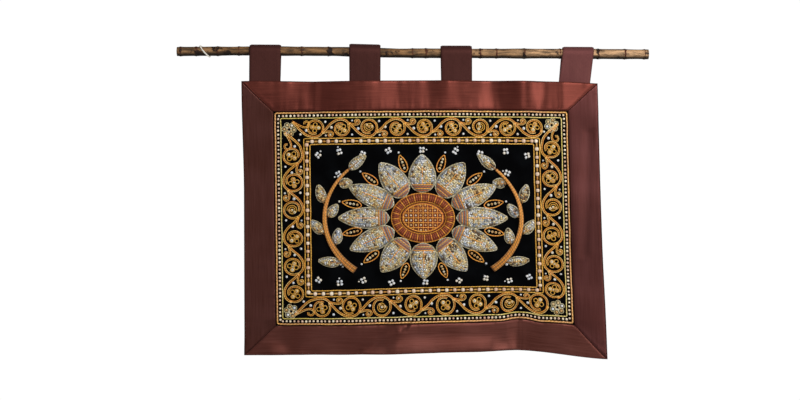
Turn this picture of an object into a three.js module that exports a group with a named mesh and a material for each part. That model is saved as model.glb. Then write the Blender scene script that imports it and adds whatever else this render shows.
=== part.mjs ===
// An embroidered velvet wall hanging: a velvet panel with padded flower work, a mitred satin border and
// four satin tabs that loop over a cane rod. The rod is what the wall holds.
// Millimetres, +Z up, the worked face looks towards -Y. The origin is on the rod's axis, above the
// middle of the cloth.

import * as THREE from "three";

// Driving sizes.
const clothWidth = 636;
const clothHeight = 488.5;
const leftBorder = 53.6;
const rightBorder = 54.6;
const topBorder = 53.5;
const bottomBorder = 53;
const satinThickness = 2;
const velvetThickness = 2.4;
const seamGap = 0.3; // between pieces that are sewn to each other
const mitreSetback = 0.22; // how far each strip stops short of the mitre, along the hem
const clothForward = 4; // the cloth hangs this far in front of the rod's axis
const hemHeight = -53.7; // the top hem's ends, below the rod's axis
const columnCount = 30; // grid cells across the cloth, shared by the panel and the strips
const rowCount = 14;
const stripCells = 3;

const rodLeft = -438;
const rodRight = 410;
const rodRadiusLeft = 8.1;
const rodRadiusRight = 9;
const rodSides = 12;
const nodeHalfLength = 4.5; // of a swelling at a node of the cane
const nodeSwelling = 0.7;

const tabWidth = 56;
const tabThickness = 2.8;
const tabTail = 15; // how far a tab's ends reach down behind the top strip

// Where the cane's nodes are, and how far its axis wanders up or down on the way.
const caneNodes = [-431, -403, -364, -326, -213, -165, -14, 10, 108, 137, 187, 251, 320, 368, 403];
const caneCrook = [
  { across: rodLeft, up: 3.6 },
  { across: -300, up: 4.6 },
  { across: -150, up: 3.6 },
  { across: -40, up: 0.6 },
  { across: 110, up: 0 },
  { across: 260, up: -0.4 },
  { across: rodRight, up: -1.6 },
];

// centre: at the hem, lean: how far its top stands to the right of its foot, slack: between it and the rod.
const tabs = [
  { centre: -280, lean: 1, slack: 0.6 },
  { centre: -100, lean: 0, slack: 3.4 },
  { centre: 65, lean: -1, slack: 2.6 },
  { centre: 277, lean: 6.5, slack: 0.9 },
];

// The cloth's folds. across and down say where each is strongest, reach is half its width, forward is how
// far it stands out (or back), and fade is how far up or down it has died away. They all end before the
// padded work in the middle of the panel, which its stitching keeps flat.
const folds = [
  { across: 0, reach: 110, down: 0, fade: 100, forward: 4 },
  { across: 122, reach: 62, down: 0, fade: 100, forward: -3.2 },
  { across: 213, reach: 66, down: 0, fade: 105, forward: 4 },
  { across: 368, reach: 38, down: 0, fade: 90, forward: 3.6 },
  { across: 437, reach: 48, down: 0, fade: 105, forward: -5 },
  { across: 500, reach: 44, down: 0, fade: 105, forward: 6 },
  { across: 566, reach: 44, down: 0, fade: 100, forward: -2.5 },
  { across: 220, reach: 190, down: 488, fade: 108, forward: 5 },
  { across: 420, reach: 85, down: 488, fade: 108, forward: 6 },
  { across: 484, reach: 44, down: 488, fade: 100, forward: -3.4 },
  { across: 636, reach: 150, down: 488, fade: 200, forward: 17 },
  { across: 636, reach: 50, down: 200, fade: 170, forward: -4 },
];

// How far the cloth is pulled up out of the straight, in the same words. The two last but one are a pucker
// at the seam under the panel and the lift beside it.
const pulls = [
  { across: 318, reach: 420, down: 0, fade: 440, up: 4.8 },
  { across: 650, reach: 70, down: 0, fade: 90, up: -2.5 },
  { across: 0, reach: 150, down: 0, fade: 40, up: 2.6 },
  { across: 600, reach: 420, down: 60, fade: 120, up: 1.5 },
  { across: 560, reach: 460, down: 385, fade: 62, up: 3.6 },
  { across: 440, reach: 300, down: 488, fade: 230, up: 6 },
  { across: 476, reach: 76, down: 488, fade: 150, up: 2.2 },
  { across: 340, reach: 260, down: 375, fade: 54, up: 1.8 },
  { across: 489, reach: 38, down: 434, fade: 62, up: 4.6 },
  { across: 575, reach: 60, down: 430, fade: 62, up: 3 },
  { across: 650, reach: 130, down: 488, fade: 280, up: -8 },
];

// How far it is pulled to the right, where its top left corner flares out.
const flares = [{ across: 0, reach: 60, down: 0, fade: 200, right: -3.6 }];

// How far the cloth swings to the right between its top and its bottom hem.
const swing = [
  { across: 0, right: 1.5 },
  { across: leftBorder, right: 5.4 },
  { across: clothWidth - rightBorder, right: 12.2 },
  { across: clothWidth, right: 15.5 },
];

// The padded flower in the middle of the panel, as rings of an oval. Angles in degrees.
const ovalStretch = 1.35;
const heart = { halfWide: 38, halfHigh: 26, crown: 7 };
const collar = { radius: 36, halfWidth: 6.2, crown: 4.5 };
const petal = { count: 12, inner: 45, outer: 111, slimmest: 17, widening: 5.6, crown: 8 };
const spray = { radius: 130, from: -46, to: 42, rootHalf: 6.5, tipHalf: 1.8, crown: 4.5 };
const leafHalfWidth = 7.4;
const leafCrown = 5;
const leafStalk = 3.6; // bare velvet between a leaf and its stem
const tipStalk = 1.5; // the same at the stem's tip
// at: share of the stem's length, side: 1 on its right going up and -1 on its left, lean: away from it.
const leaves = [
  { at: 0.13, side: 1, length: 36, lean: 40 },
  { at: 0.27, side: -1, length: 27, lean: 38 },
  { at: 0.4, side: 1, length: 29, lean: 27 },
  { at: 0.54, side: -1, length: 26, lean: 36 },
  { at: 0.66, side: 1, length: 31, lean: 32 },
  { at: 0.86, side: -1, length: 22, lean: 46 },
  { at: 1, side: 0, length: 36, lean: 0 },
];
const padRim = 1; // height of a pad's sewn edge

// Curves from tables.

function blend(rows, across, value) {
  const last = rows.length - 2;
  const found = rows.findIndex((row, i) => i > 0 && across <= row.across) - 1;
  const i = found < 0 ? last : found;
  const [a, b] = [rows[i], rows[i + 1]];
  const t = THREE.MathUtils.clamp((across - a.across) / (b.across - a.across), 0, 1);
  return a[value] + (b[value] - a[value]) * t;
}

function swell(rows, across, down, value) {
  return rows.reduce((sum, row) => {
    const t = Math.min(Math.abs(across - row.across) / row.reach, 1);
    const d = Math.min(Math.abs(down - row.down) / row.fade, 1);
    return sum + row[value] * (1 - t * t) ** 2 * (1 - d * d) ** 2;
  }, 0);
}

// The cloth. Its flat places are across from the left edge and down from the top hem.

function onCloth(across, down, forward) {
  const swung = blend(swing, across, "right") * (down / clothHeight);
  const x = across - clothWidth / 2 + swung + swell(flares, across, down, "right");
  const y = -clothForward - swell(folds, across, down, "forward") - forward;
  const z = hemHeight - down + swell(pulls, across, down, "up");
  return new THREE.Vector3(x, y, z);
}

// A closed sheet from two faces, each a function of (i, j) in a grid of cells.
function sheetGeometry(columns, rows, front, back) {
  const points = [];
  const faces = [];
  const width = columns + 1;
  const faceSize = width * (rows + 1);
  for (const face of [front, back])
    for (let j = 0; j <= rows; j++)
      for (let i = 0; i <= columns; i++) points.push(...face(i, j).toArray());
  const quad = (a, b, c, d) => faces.push(a, b, c, a, c, d);
  for (let j = 0; j < rows; j++)
    for (let i = 0; i < columns; i++) {
      const a = j * width + i;
      quad(a, a + width, a + width + 1, a + 1);
      quad(faceSize + a, faceSize + a + 1, faceSize + a + width + 1, faceSize + a + width);
    }
  const rim = [];
  for (let i = 0; i < columns; i++) rim.push(i);
  for (let j = 0; j < rows; j++) rim.push(j * width + columns);
  for (let i = columns; i > 0; i--) rim.push(rows * width + i);
  for (let j = rows; j > 0; j--) rim.push(j * width);
  rim.forEach((a, n) => {
    const b = rim[(n + 1) % rim.length];
    quad(a, b, faceSize + b, faceSize + a);
  });
  return closedGeometry(points, faces);
}

function closedGeometry(points, faces) {
  const geometry = new THREE.BufferGeometry();
  geometry.setAttribute("position", new THREE.Float32BufferAttribute(points, 3));
  geometry.setIndex(faces);
  return geometry;
}

// A piece of cloth whose flat cell corners are place(i, j) = [across, down].
function clothGeometry(columns, rows, place, thickness) {
  const face = (forward) => (i, j) => onCloth(...place(i, j), forward);
  return sheetGeometry(columns, rows, face(thickness / 2), face(-thickness / 2));
}

function panelPlace(i, j) {
  const inset = seamGap / 2;
  const right = clothWidth - rightBorder;
  const bottom = clothHeight - bottomBorder;
  return [
    THREE.MathUtils.lerp(leftBorder + inset, right - inset, i / columnCount),
    THREE.MathUtils.lerp(topBorder + inset, bottom - inset, j / rowCount),
  ];
}

// A border strip. Its cells run along the hem and inwards, and its ends follow the mitres.
function stripPlace(side) {
  const { lerp } = THREE.MathUtils;
  return (i, j) => {
    const inwards = (border) => (j / stripCells) * (border - seamGap / 2);
    const end = (border) => inwards(border) + mitreSetback;
    const across = lerp(end(leftBorder), clothWidth - end(rightBorder), i / columnCount);
    const ends = [end(topBorder), clothHeight - end(bottomBorder)];
    if (side === "top") return [across, inwards(topBorder)];
    if (side === "left") return [inwards(leftBorder), lerp(ends[1], ends[0], i / rowCount)];
    if (side === "right") return [clothWidth - inwards(rightBorder), lerp(ends[0], ends[1], i / rowCount)];
    const back = lerp(clothWidth - end(rightBorder), end(leftBorder), i / columnCount);
    return [back, clothHeight - inwards(bottomBorder)];
  };
}

// The rod.

const rodRadius = (x) =>
  THREE.MathUtils.mapLinear(x, rodLeft, rodRight, rodRadiusLeft, rodRadiusRight);
const rodRise = (x) => blend(caneCrook, x, "up");

function rodGeometry() {
  const stations = [rodLeft, rodRight, ...caneCrook.slice(1, -1).map((row) => row.across)].map(
    (at) => ({ at, grown: 0 }),
  );
  for (const node of caneNodes)
    for (const step of [-nodeHalfLength, 0, nodeHalfLength])
      stations.push({ at: node + step, grown: step === 0 ? nodeSwelling : 0 });
  stations.sort((a, b) => a.at - b.at);
  const profile = stations.map(({ at, grown }) => new THREE.Vector2(rodRadius(at) + grown, at));
  const ends = [new THREE.Vector2(0, rodLeft), new THREE.Vector2(0, rodRight)];
  const geometry = new THREE.LatheGeometry([ends[0], ...profile, ends[1]], rodSides);
  const position = geometry.getAttribute("position");
  for (let i = 0; i < position.count; i++)
    position.setZ(i, position.getZ(i) + rodRise(position.getY(i)));
  return geometry;
}

// The line of string that is wound once round the rod, as a slanted ring.
const string = { across: -388, slant: 8, bow: 2.2, radius: 1.1, clearance: 0.35, steps: 24, sides: 6 };

function stringGeometry() {
  const points = [];
  for (let i = 0; i < string.steps; i++) {
    const turn = (i / string.steps) * 2 * Math.PI;
    const x = string.across - string.slant * Math.cos(turn) - string.bow * Math.sin(turn);
    const reach = rodRadius(x) + string.clearance + string.radius;
    points.push(
      new THREE.Vector3(x, -reach * Math.sin(turn), rodRise(x) + reach * Math.cos(turn)),
    );
  }
  const curve = new THREE.CatmullRomCurve3(points, true);
  return new THREE.TubeGeometry(curve, string.steps, string.radius, string.sides, true);
}

// The tabs.

const legSteps = 3;
const arcSteps = 12;
const tabColumns = 2;

// The line down the middle of a tab's cloth at one place x on the rod, from the end behind the hem, up the
// front, over the rod and down the back, as {y, z, ny, nz} with the side that faces out.
function tabLine(x, footX, slack) {
  const across = footX + clothWidth / 2;
  const hem = onCloth(across, 0, -satinThickness / 2 - 2 * seamGap - tabThickness / 2);
  const centre = new THREE.Vector2(0, rodRise(x));
  const radius = rodRadius(x) + slack + tabThickness / 2;
  const feet = [
    { point: new THREE.Vector2(hem.y, hem.z), front: -1 },
    { point: new THREE.Vector2(hem.y + tabThickness + seamGap, hem.z), front: 1 },
  ];
  const touches = feet.map(({ point, front }) => {
    const towards = centre.clone().sub(point);
    const reach = towards.length();
    const along = towards.normalize();
    const outwards = new THREE.Vector2(-along.y, along.x).multiplyScalar(-front);
    const share = radius / reach;
    return along.clone().multiplyScalar(-share).addScaledVector(outwards, Math.sqrt(1 - share * share));
  });
  const line = [];
  const leg = (foot, out, steps, upwards) => {
    const touch = centre.clone().addScaledVector(out, radius);
    const low = foot.clone().setY(foot.y - tabTail);
    const side = Math.sign(out.x);
    const found = [{ y: low.x, z: low.y, ny: side, nz: 0 }];
    for (let i = 0; i < steps; i++) {
      const p = foot.clone().lerp(touch, i / steps);
      found.push({ y: p.x, z: p.y, ny: out.x, nz: out.y });
    }
    return upwards ? found : found.reverse();
  };
  const angles = touches.map((out) => Math.atan2(out.y, out.x));
  const start = angles[0] < 0 ? angles[0] + 2 * Math.PI : angles[0];
  line.push(...leg(feet[0].point, touches[0], legSteps, true));
  for (let i = 0; i <= arcSteps; i++) {
    const angle = THREE.MathUtils.lerp(start, angles[1], i / arcSteps);
    const [ny, nz] = [Math.cos(angle), Math.sin(angle)];
    line.push({ y: centre.x + radius * ny, z: centre.y + radius * nz, ny, nz });
  }
  line.push(...leg(feet[1].point, touches[1], legSteps, false));
  return line;
}

function tabGeometry({ centre, lean, slack }) {
  const lines = [];
  for (let i = 0; i <= tabColumns; i++) {
    const x = centre + tabWidth * (i / tabColumns - 0.5);
    lines.push(tabLine(x + lean, x, slack).map((p) => ({ ...p, foot: x })));
  }
  const top = lines[0].reduce((high, p) => Math.max(high, p.z), -Infinity);
  const side = (sign) => (i, j) => {
    const p = lines[i][lines[i].length - 1 - j];
    const x = p.foot + lean * THREE.MathUtils.clamp((p.z - hemHeight) / (top - hemHeight), 0, 1);
    const half = (sign * tabThickness) / 2;
    return new THREE.Vector3(x, p.y + p.ny * half, p.z + p.nz * half);
  };
  return sheetGeometry(tabColumns, lines[0].length - 1, side(1), side(-1));
}

// Padded work on the panel. Its flat places are right and up from the middle of the panel.

function onPanel(right, up, forward) {
  const place = [clothWidth / 2 + right, clothHeight / 2 - up];
  return onCloth(...place, velvetThickness / 2 + seamGap + forward);
}

const nudge = 1e-3; // a small step along a path, to find its direction

// A pad along a path(t) = [right, up], with halfWidth(t) and crown(t), flat below and round on top.
function padGeometry({ path, halfWidth, crown, steps, topCells = 4, closed = false }) {
  const points = [];
  const faces = [];
  const size = topCells + 3;
  const count = closed ? steps : steps + 1;
  for (let s = 0; s < count; s++) {
    const t = s / steps;
    const [right, up] = path(t);
    const ahead = path(t + nudge);
    const along = new THREE.Vector2(ahead[0] - right, ahead[1] - up).normalize();
    const half = halfWidth(t);
    for (let c = 0; c < size; c++) {
      const across = c <= topCells ? (2 * c) / topCells - 1 : c === topCells + 1 ? 1 : -1;
      const rise = c <= topCells ? padRim + crown(t) * Math.sqrt(1 - across * across) : 0;
      const place = [right + along.y * half * across, up - along.x * half * across];
      points.push(...onPanel(...place, rise).toArray());
    }
  }
  for (let s = 0; s < steps; s++)
    for (let c = 0; c < size; c++) {
      const a = s * size + c;
      const b = s * size + ((c + 1) % size);
      const next = (((s + 1) % count) - s) * size;
      faces.push(a, b, b + next, a, b + next, a + next);
    }
  if (!closed) {
    const foot = topCells + 1;
    const end = steps * size;
    for (let c = 1; c < size - 1; c++) {
      const [a, b] = [(foot + c) % size, (foot + c + 1) % size];
      faces.push(foot, b, a);
      faces.push(end + foot, end + a, end + b);
    }
  }
  return closedGeometry(points, faces);
}

// Half the width of a petal or leaf along its length, 1 at its widest.
const leafShape = (t) => 2.49 * t ** 0.55 * (1 - t) ** 0.8;
const tip = 0.7; // half the width that a pad keeps at its ends

function petalGeometry(number) {
  const angle = (number * 2 * Math.PI) / petal.count;
  const widest = petal.slimmest + petal.widening * Math.abs(Math.sin(angle)) ** 3;
  const shape = (t) => leafShape(THREE.MathUtils.clamp(t, 0, 1));
  return padGeometry({
    path: (t) => {
      const radius = THREE.MathUtils.lerp(petal.inner, petal.outer, t);
      return [ovalStretch * radius * Math.cos(angle), radius * Math.sin(angle)];
    },
    halfWidth: (t) => Math.max(tip, widest * shape(t)),
    crown: (t) => petal.crown * shape(t),
    steps: 7,
  });
}

function heartGeometry() {
  const shape = (t) => Math.sqrt(Math.max(0, 1 - (2 * t - 1) ** 2));
  return padGeometry({
    path: (t) => [heart.halfWide * (2 * t - 1), 0],
    halfWidth: (t) => Math.max(tip, heart.halfHigh * shape(t)),
    crown: (t) => heart.crown * shape(t),
    steps: 10,
    topCells: 6,
  });
}

function collarGeometry() {
  return padGeometry({
    path: (t) => {
      const turn = 2 * Math.PI * t;
      return [ovalStretch * collar.radius * Math.cos(turn), collar.radius * Math.sin(turn)];
    },
    halfWidth: () => collar.halfWidth,
    crown: () => collar.crown,
    steps: 28,
    closed: true,
  });
}

// The stem right of the flower; mirror is -1 for the one on its left.
function stemPath(mirror) {
  return (t) => {
    const turn = THREE.MathUtils.degToRad(THREE.MathUtils.lerp(spray.from, spray.to, t));
    return [mirror * ovalStretch * spray.radius * Math.cos(turn), spray.radius * Math.sin(turn)];
  };
}

const stemHalfWidth = (t) => THREE.MathUtils.lerp(spray.rootHalf, spray.tipHalf, t ** 0.7);

function stemGeometry(mirror) {
  return padGeometry({
    path: stemPath(mirror),
    halfWidth: stemHalfWidth,
    crown: (t) => THREE.MathUtils.lerp(spray.crown, spray.crown / 2, t),
    steps: 12,
  });
}

function leafGeometry({ at, side, length, lean }, mirror) {
  const path = stemPath(mirror);
  const [right, up] = path(at);
  const ahead = path(at + nudge);
  const along = new THREE.Vector2(ahead[0] - right, ahead[1] - up).normalize();
  const outwards = new THREE.Vector2(along.y, -along.x).multiplyScalar(side * mirror);
  const clear = side === 0 ? tipStalk : stemHalfWidth(at) + leafStalk;
  const start = new THREE.Vector2(right, up).addScaledVector(side === 0 ? along : outwards, clear);
  const leaning = THREE.MathUtils.degToRad(lean);
  const heading = along.clone().multiplyScalar(Math.cos(leaning));
  heading.addScaledVector(outwards, Math.sin(leaning));
  const shape = (t) => leafShape(THREE.MathUtils.clamp(t, 0, 1));
  return padGeometry({
    path: (t) => [start.x + heading.x * length * t, start.y + heading.y * length * t],
    halfWidth: (t) => Math.max(tip, leafHalfWidth * shape(t)),
    crown: (t) => leafCrown * shape(t),
    steps: 5,
  });
}

// Finishes.
const satin = new THREE.MeshStandardMaterial({ color: 0x6e3b36, roughness: 0.4, metalness: 0 });
const velvet = new THREE.MeshStandardMaterial({ color: 0x0b0b10, roughness: 0.9, metalness: 0 });
const cane = new THREE.MeshStandardMaterial({ color: 0x8a6540, roughness: 0.55, metalness: 0 });
const cotton = new THREE.MeshStandardMaterial({ color: 0xe9e4da, roughness: 0.8, metalness: 0 });
const sequins = new THREE.MeshStandardMaterial({ color: 0xb9b7a6, roughness: 0.35, metalness: 0.3 });
const rustCord = new THREE.MeshStandardMaterial({ color: 0x8f3a2c, roughness: 0.6, metalness: 0 });
const copperCord = new THREE.MeshStandardMaterial({ color: 0xa8693b, roughness: 0.55, metalness: 0 });

function piece(name, geometry, material) {
  const mesh = new THREE.Mesh(geometry, material);
  mesh.name = name;
  return mesh;
}

const clothGroup = new THREE.Group();
const panel = clothGeometry(columnCount, rowCount, panelPlace, velvetThickness);
clothGroup.add(piece("velvet_panel", panel, velvet));
for (const side of ["top", "bottom", "left", "right"]) {
  const cells = side === "top" || side === "bottom" ? columnCount : rowCount;
  const strip = clothGeometry(cells, stripCells, stripPlace(side), satinThickness);
  clothGroup.add(piece(`border_${side}`, strip, satin));
}
tabs.forEach((tab, i) => clothGroup.add(piece(`tab_${i + 1}`, tabGeometry(tab), satin)));

const flowerGroup = new THREE.Group();
flowerGroup.add(piece("flower_heart", heartGeometry(), rustCord));
flowerGroup.add(piece("flower_collar", collarGeometry(), rustCord));
for (let i = 0; i < petal.count; i++) {
  const name = `petal_${String(i + 1).padStart(2, "0")}`;
  flowerGroup.add(piece(name, petalGeometry(i), sequins));
}
for (const [side, mirror] of [["left", -1], ["right", 1]]) {
  flowerGroup.add(piece(`stem_${side}`, stemGeometry(mirror), copperCord));
  leaves.forEach((leaf, i) => {
    flowerGroup.add(piece(`leaf_${side}_${i + 1}`, leafGeometry(leaf, mirror), sequins));
  });
}

const rodGroup = new THREE.Group();
const rod = piece("rod", rodGeometry(), cane);
rod.rotation.z = -Math.PI / 2; // the lathe turns about Y, and the rod lies along X
rodGroup.add(rod, piece("rod_string", stringGeometry(), cotton));

const hanging = new THREE.Group();
hanging.add(clothGroup, flowerGroup, rodGroup);
export default hanging;
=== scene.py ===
import math
import random

import bmesh
import bpy
import numpy as np
from mathutils import Matrix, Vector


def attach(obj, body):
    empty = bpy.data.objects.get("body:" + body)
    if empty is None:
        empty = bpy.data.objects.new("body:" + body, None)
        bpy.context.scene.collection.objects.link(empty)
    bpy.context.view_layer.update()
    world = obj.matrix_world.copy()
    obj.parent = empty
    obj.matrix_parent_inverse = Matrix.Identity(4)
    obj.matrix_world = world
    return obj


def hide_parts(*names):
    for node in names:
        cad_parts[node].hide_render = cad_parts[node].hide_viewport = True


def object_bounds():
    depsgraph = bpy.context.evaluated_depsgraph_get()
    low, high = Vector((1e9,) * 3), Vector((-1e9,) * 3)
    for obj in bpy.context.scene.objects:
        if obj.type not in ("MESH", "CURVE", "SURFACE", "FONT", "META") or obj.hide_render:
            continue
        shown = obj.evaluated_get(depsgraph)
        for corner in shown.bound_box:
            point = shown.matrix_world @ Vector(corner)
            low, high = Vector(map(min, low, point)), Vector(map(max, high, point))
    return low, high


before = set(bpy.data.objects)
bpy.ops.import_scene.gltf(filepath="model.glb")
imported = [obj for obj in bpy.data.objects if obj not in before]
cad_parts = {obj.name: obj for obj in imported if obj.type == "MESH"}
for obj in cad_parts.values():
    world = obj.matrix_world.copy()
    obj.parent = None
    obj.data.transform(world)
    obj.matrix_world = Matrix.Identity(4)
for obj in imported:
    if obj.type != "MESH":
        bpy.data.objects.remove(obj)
cadBox = [list(corner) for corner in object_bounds()]
random.seed(11)


def table(keys, *rows):
    return [dict(zip(keys.split(), row)) for row in rows]


# Everything on the cloth is made flat, in millimetres from the middle of the cloth: right, up and
# forward out of the worked face. hang() then carries it to where it hangs, in metres.

cloth = {
    "width": 636, "height": 488.5,
    "leftBorder": 53.6, "rightBorder": 54.6, "topBorder": 53.5, "bottomBorder": 53,
    "hemDrop": 53.7,  # the top hem's ends, below the rod's axis
    "inFront": 4,  # of the rod's axis
    "satin": 2.0, "velvet": 2.4,
    "seamGap": 0.3,
    "cell": 3.5,  # of the mesh
}
# Folds, pulls and flares are soft swells, each centred on a place across and down from the top left corner.
folds = table(
    "across reach down fade forward",
    (0, 110, 0, 100, 4),
    (122, 62, 0, 100, -3.2),
    (213, 66, 0, 105, 4),
    (368, 38, 0, 90, 3.6),
    (437, 48, 0, 105, -5),
    (500, 44, 0, 105, 6),
    (566, 44, 0, 100, -2.5),
    (220, 190, 488, 108, 5),
    (420, 85, 488, 108, 6),
    (484, 44, 488, 100, -3.4),
    (636, 150, 488, 200, 17),
    (636, 50, 200, 170, -4))
pulls = table(
    "across reach down fade up",
    (318, 420, 0, 440, 4.8),
    (650, 70, 0, 90, -2.5),
    (0, 150, 0, 40, 2.6),
    (600, 420, 60, 120, 1.5),
    (560, 460, 385, 62, 3.6),
    (440, 300, 488, 230, 6),
    (476, 76, 488, 150, 2.2),
    (340, 260, 375, 54, 1.8),
    (489, 38, 434, 62, 4.6),
    (575, 60, 430, 62, 3),
    (650, 130, 488, 280, -8))
flares = table("across reach down fade right", (0, 60, 0, 200, -3.6))
swing = {
    "across": [0, cloth["leftBorder"], cloth["width"] - cloth["rightBorder"], cloth["width"]],
    "right": [1.5, 5.4, 12.2, 15.5],
}
# Fine creases, which only the looks have. Each runs between two flat places and stands forward, over a
# width on its left and on its right as it runs.
creases = table(
    "start end left right forward",
    ((-304, 246), (-304, 200), 48, 8, 1.5),
    ((-198, 246), (-194, 186), 26, 18, -0.9),
    ((-176, 246), (-178, 190), 62, 14, 1.9),
    ((-60, 246), (-66, 192), 22, 30, 0.4),
    ((192, 246), (188, 186), 40, 30, 2.0),
    ((246, 246), (246, 200), 8, 40, 1.2),
    ((322, 248), (318, 190), 10, 44, 1.5),
    ((-250, -203), (-180, -245), 34, 44, -2.6),
    ((-325, -250), (-276, -254), 44, 24, 5.2),
    ((-190, -250), (-95, -256), 40, 20, -4.0),
    ((-48, -209), (-95, -245), 40, 14, 1.7),
    ((-80, -250), (110, -252), 42, 20, 6.0),
    ((-38, -214), (-58, -254), 150, 44, 6.0),
    ((124, -206), (120, -252), 38, 118, -4.5),
    ((165, -178), (164, -250), 9, 26, -2.8),
    ((262, -190), (264, -248), 90, 88, 3.2),
    ((300, 150), (286, -60), 12, 14, -1.0),
    ((-296, 120), (-290, -80), 14, 12, 0.8))

halfWidth = cloth["width"] / 2
halfHeight = cloth["height"] / 2
panelLeft = -halfWidth + cloth["leftBorder"]
panelRight = halfWidth - cloth["rightBorder"]
panelTop = halfHeight - cloth["topBorder"]
panelBottom = -halfHeight + cloth["bottomBorder"]
velvetFace = cloth["velvet"] / 2


def corners(left, right, bottom, top):
    # clockwise from the top left
    return [np.array(corner) for corner in ((left, top), (right, top), (right, bottom), (left, bottom))]


hemCorners = corners(-halfWidth, halfWidth, -halfHeight, halfHeight)
panelCorners = corners(panelLeft, panelRight, panelBottom, panelTop)


def unit(way):
    return way / np.linalg.norm(way)


def swell(rows, across, down, key):
    total = np.zeros(len(across))
    for row in rows:
        t = np.minimum(abs(across - row["across"]) / row["reach"], 1)
        d = np.minimum(abs(down - row["down"]) / row["fade"], 1)
        total += row[key] * (1 - t * t) ** 2 * (1 - d * d) ** 2
    return total


def creased(right, up):
    total = np.zeros(len(right))
    for crease in creases:
        start, end = np.array(crease["start"]), np.array(crease["end"])
        along = unit(end - start)
        offset = np.column_stack([right, up]) - start
        run = np.clip(offset @ along, 0, np.linalg.norm(end - start))
        away = np.linalg.norm(offset - run[:, None] * along, axis=1)
        leftSide = along[0] * offset[:, 1] - along[1] * offset[:, 0] > 0
        reach = np.where(leftSide, crease["left"], crease["right"])
        total += crease["forward"] * (1 - np.minimum(away / reach, 1) ** 2) ** 2
    return total


def hang(places):
    right, up, forward = places[:, 0], places[:, 1], places[:, 2]
    across, down = right + halfWidth, halfHeight - up
    x = right + np.interp(across, swing["across"], swing["right"]) * down / cloth["height"]
    x += swell(flares, across, down, "right")
    y = -cloth["inFront"] - swell(folds, across, down, "forward") - creased(right, up) - forward
    z = -cloth["hemDrop"] - down + swell(pulls, across, down, "up")
    return np.column_stack([x, y, z]) / 1000


def inMetres(places):
    return places / 1000


# Making pieces

def meshFrom(name, bm):
    mesh = bpy.data.meshes.new(name)
    bm.to_mesh(mesh)
    bm.free()
    return mesh


def moveMesh(mesh, place):
    places = np.empty(len(mesh.vertices) * 3)
    mesh.vertices.foreach_get("co", places)
    mesh.vertices.foreach_set("co", place(places.reshape(-1, 3)).ravel())
    mesh.update()


def addObject(name, data):
    made = bpy.data.objects.new(name, data)
    bpy.context.scene.collection.objects.link(made)
    return made


def finishPiece(name, shape, materials, node=None, place=hang):
    mesh = meshFrom(name, shape) if isinstance(shape, bmesh.types.BMesh) else shape
    moveMesh(mesh, place)
    for material in materials:
        mesh.materials.append(material)
    mesh.polygons.foreach_set("use_smooth", [True] * len(mesh.polygons))
    piece = addObject(name, mesh)
    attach(piece, "root")
    if node:
        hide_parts(node)
    return piece


def clothGrid(columns, rows, place, plane="xy"):
    # A grid of cloth, whose corners lie at place(share across, share up). Its UV is where they lie in the
    # given plane, in metres.
    bm = bmesh.new()
    layer = bm.loops.layers.uv.new("flat")
    bmesh.ops.create_grid(bm, x_segments=columns, y_segments=rows, size=0.5)
    for vert in bm.verts:
        vert.co = place(vert.co.x + 0.5, vert.co.y + 0.5)
    for face in bm.faces:
        for loop in face.loops:
            loop[layer].uv = getattr(loop.vert.co, plane) / 1000
    return bm


def thicken(piece, thickness, backMaterial=0):
    solidify = piece.modifiers.new("thickness", "SOLIDIFY")
    solidify.thickness = thickness / 1000
    solidify.offset = -1
    solidify.material_offset = backMaterial
    solidify.material_offset_rim = backMaterial


def waver(run, seed, lengths=(9, 14, 23, 39)):
    # an uneven wave from -1 to 1 along a seam
    dice = random.Random(seed)
    return sum(math.sin(2 * math.pi * (run / length + dice.random())) for length in lengths) / len(lengths)


cordMake = {
    "step": 1.3,  # between the rings of the mesh
    "sides": 6,
    "groove": 0.16,  # how much thinner it is across the groove between its plies
    "tip": 0.55,  # how thick its ends are
    "sunk": 0.4,  # how high its middle lies over the cloth, as a share of its thickness
}


def evenSteps(points, step=cordMake["step"]):
    gaps = np.linalg.norm(np.diff(points, axis=0), axis=1)
    run = np.concatenate([[0], np.cumsum(gaps)])
    marks = np.linspace(0, run[-1], max(round(run[-1] / step), 3) + 1)
    return np.column_stack([np.interp(marks, run, points[:, axis]) for axis in range(3)])


def smoothPath(points, closed=False):
    # a curve through listed points, cut into even steps
    points = np.array(points, float)
    count = len(points)
    t = np.linspace(0, 1, 9)[:-1, None]
    dense = []
    for k in range(count if closed else count - 1):
        picks = [(k + o) % count if closed else min(max(k + o, 0), count - 1) for o in (-1, 0, 1, 2)]
        a, b, c, d = points[picks]
        curve = 2 * b + (c - a) * t + (2 * a - 5 * b + 4 * c - d) * t**2
        dense.append(0.5 * (curve + (3 * b - a - 3 * c + d) * t**3))
    dense.append(points[:1] if closed else points[-1:])
    return evenSteps(np.vstack(dense))


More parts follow.
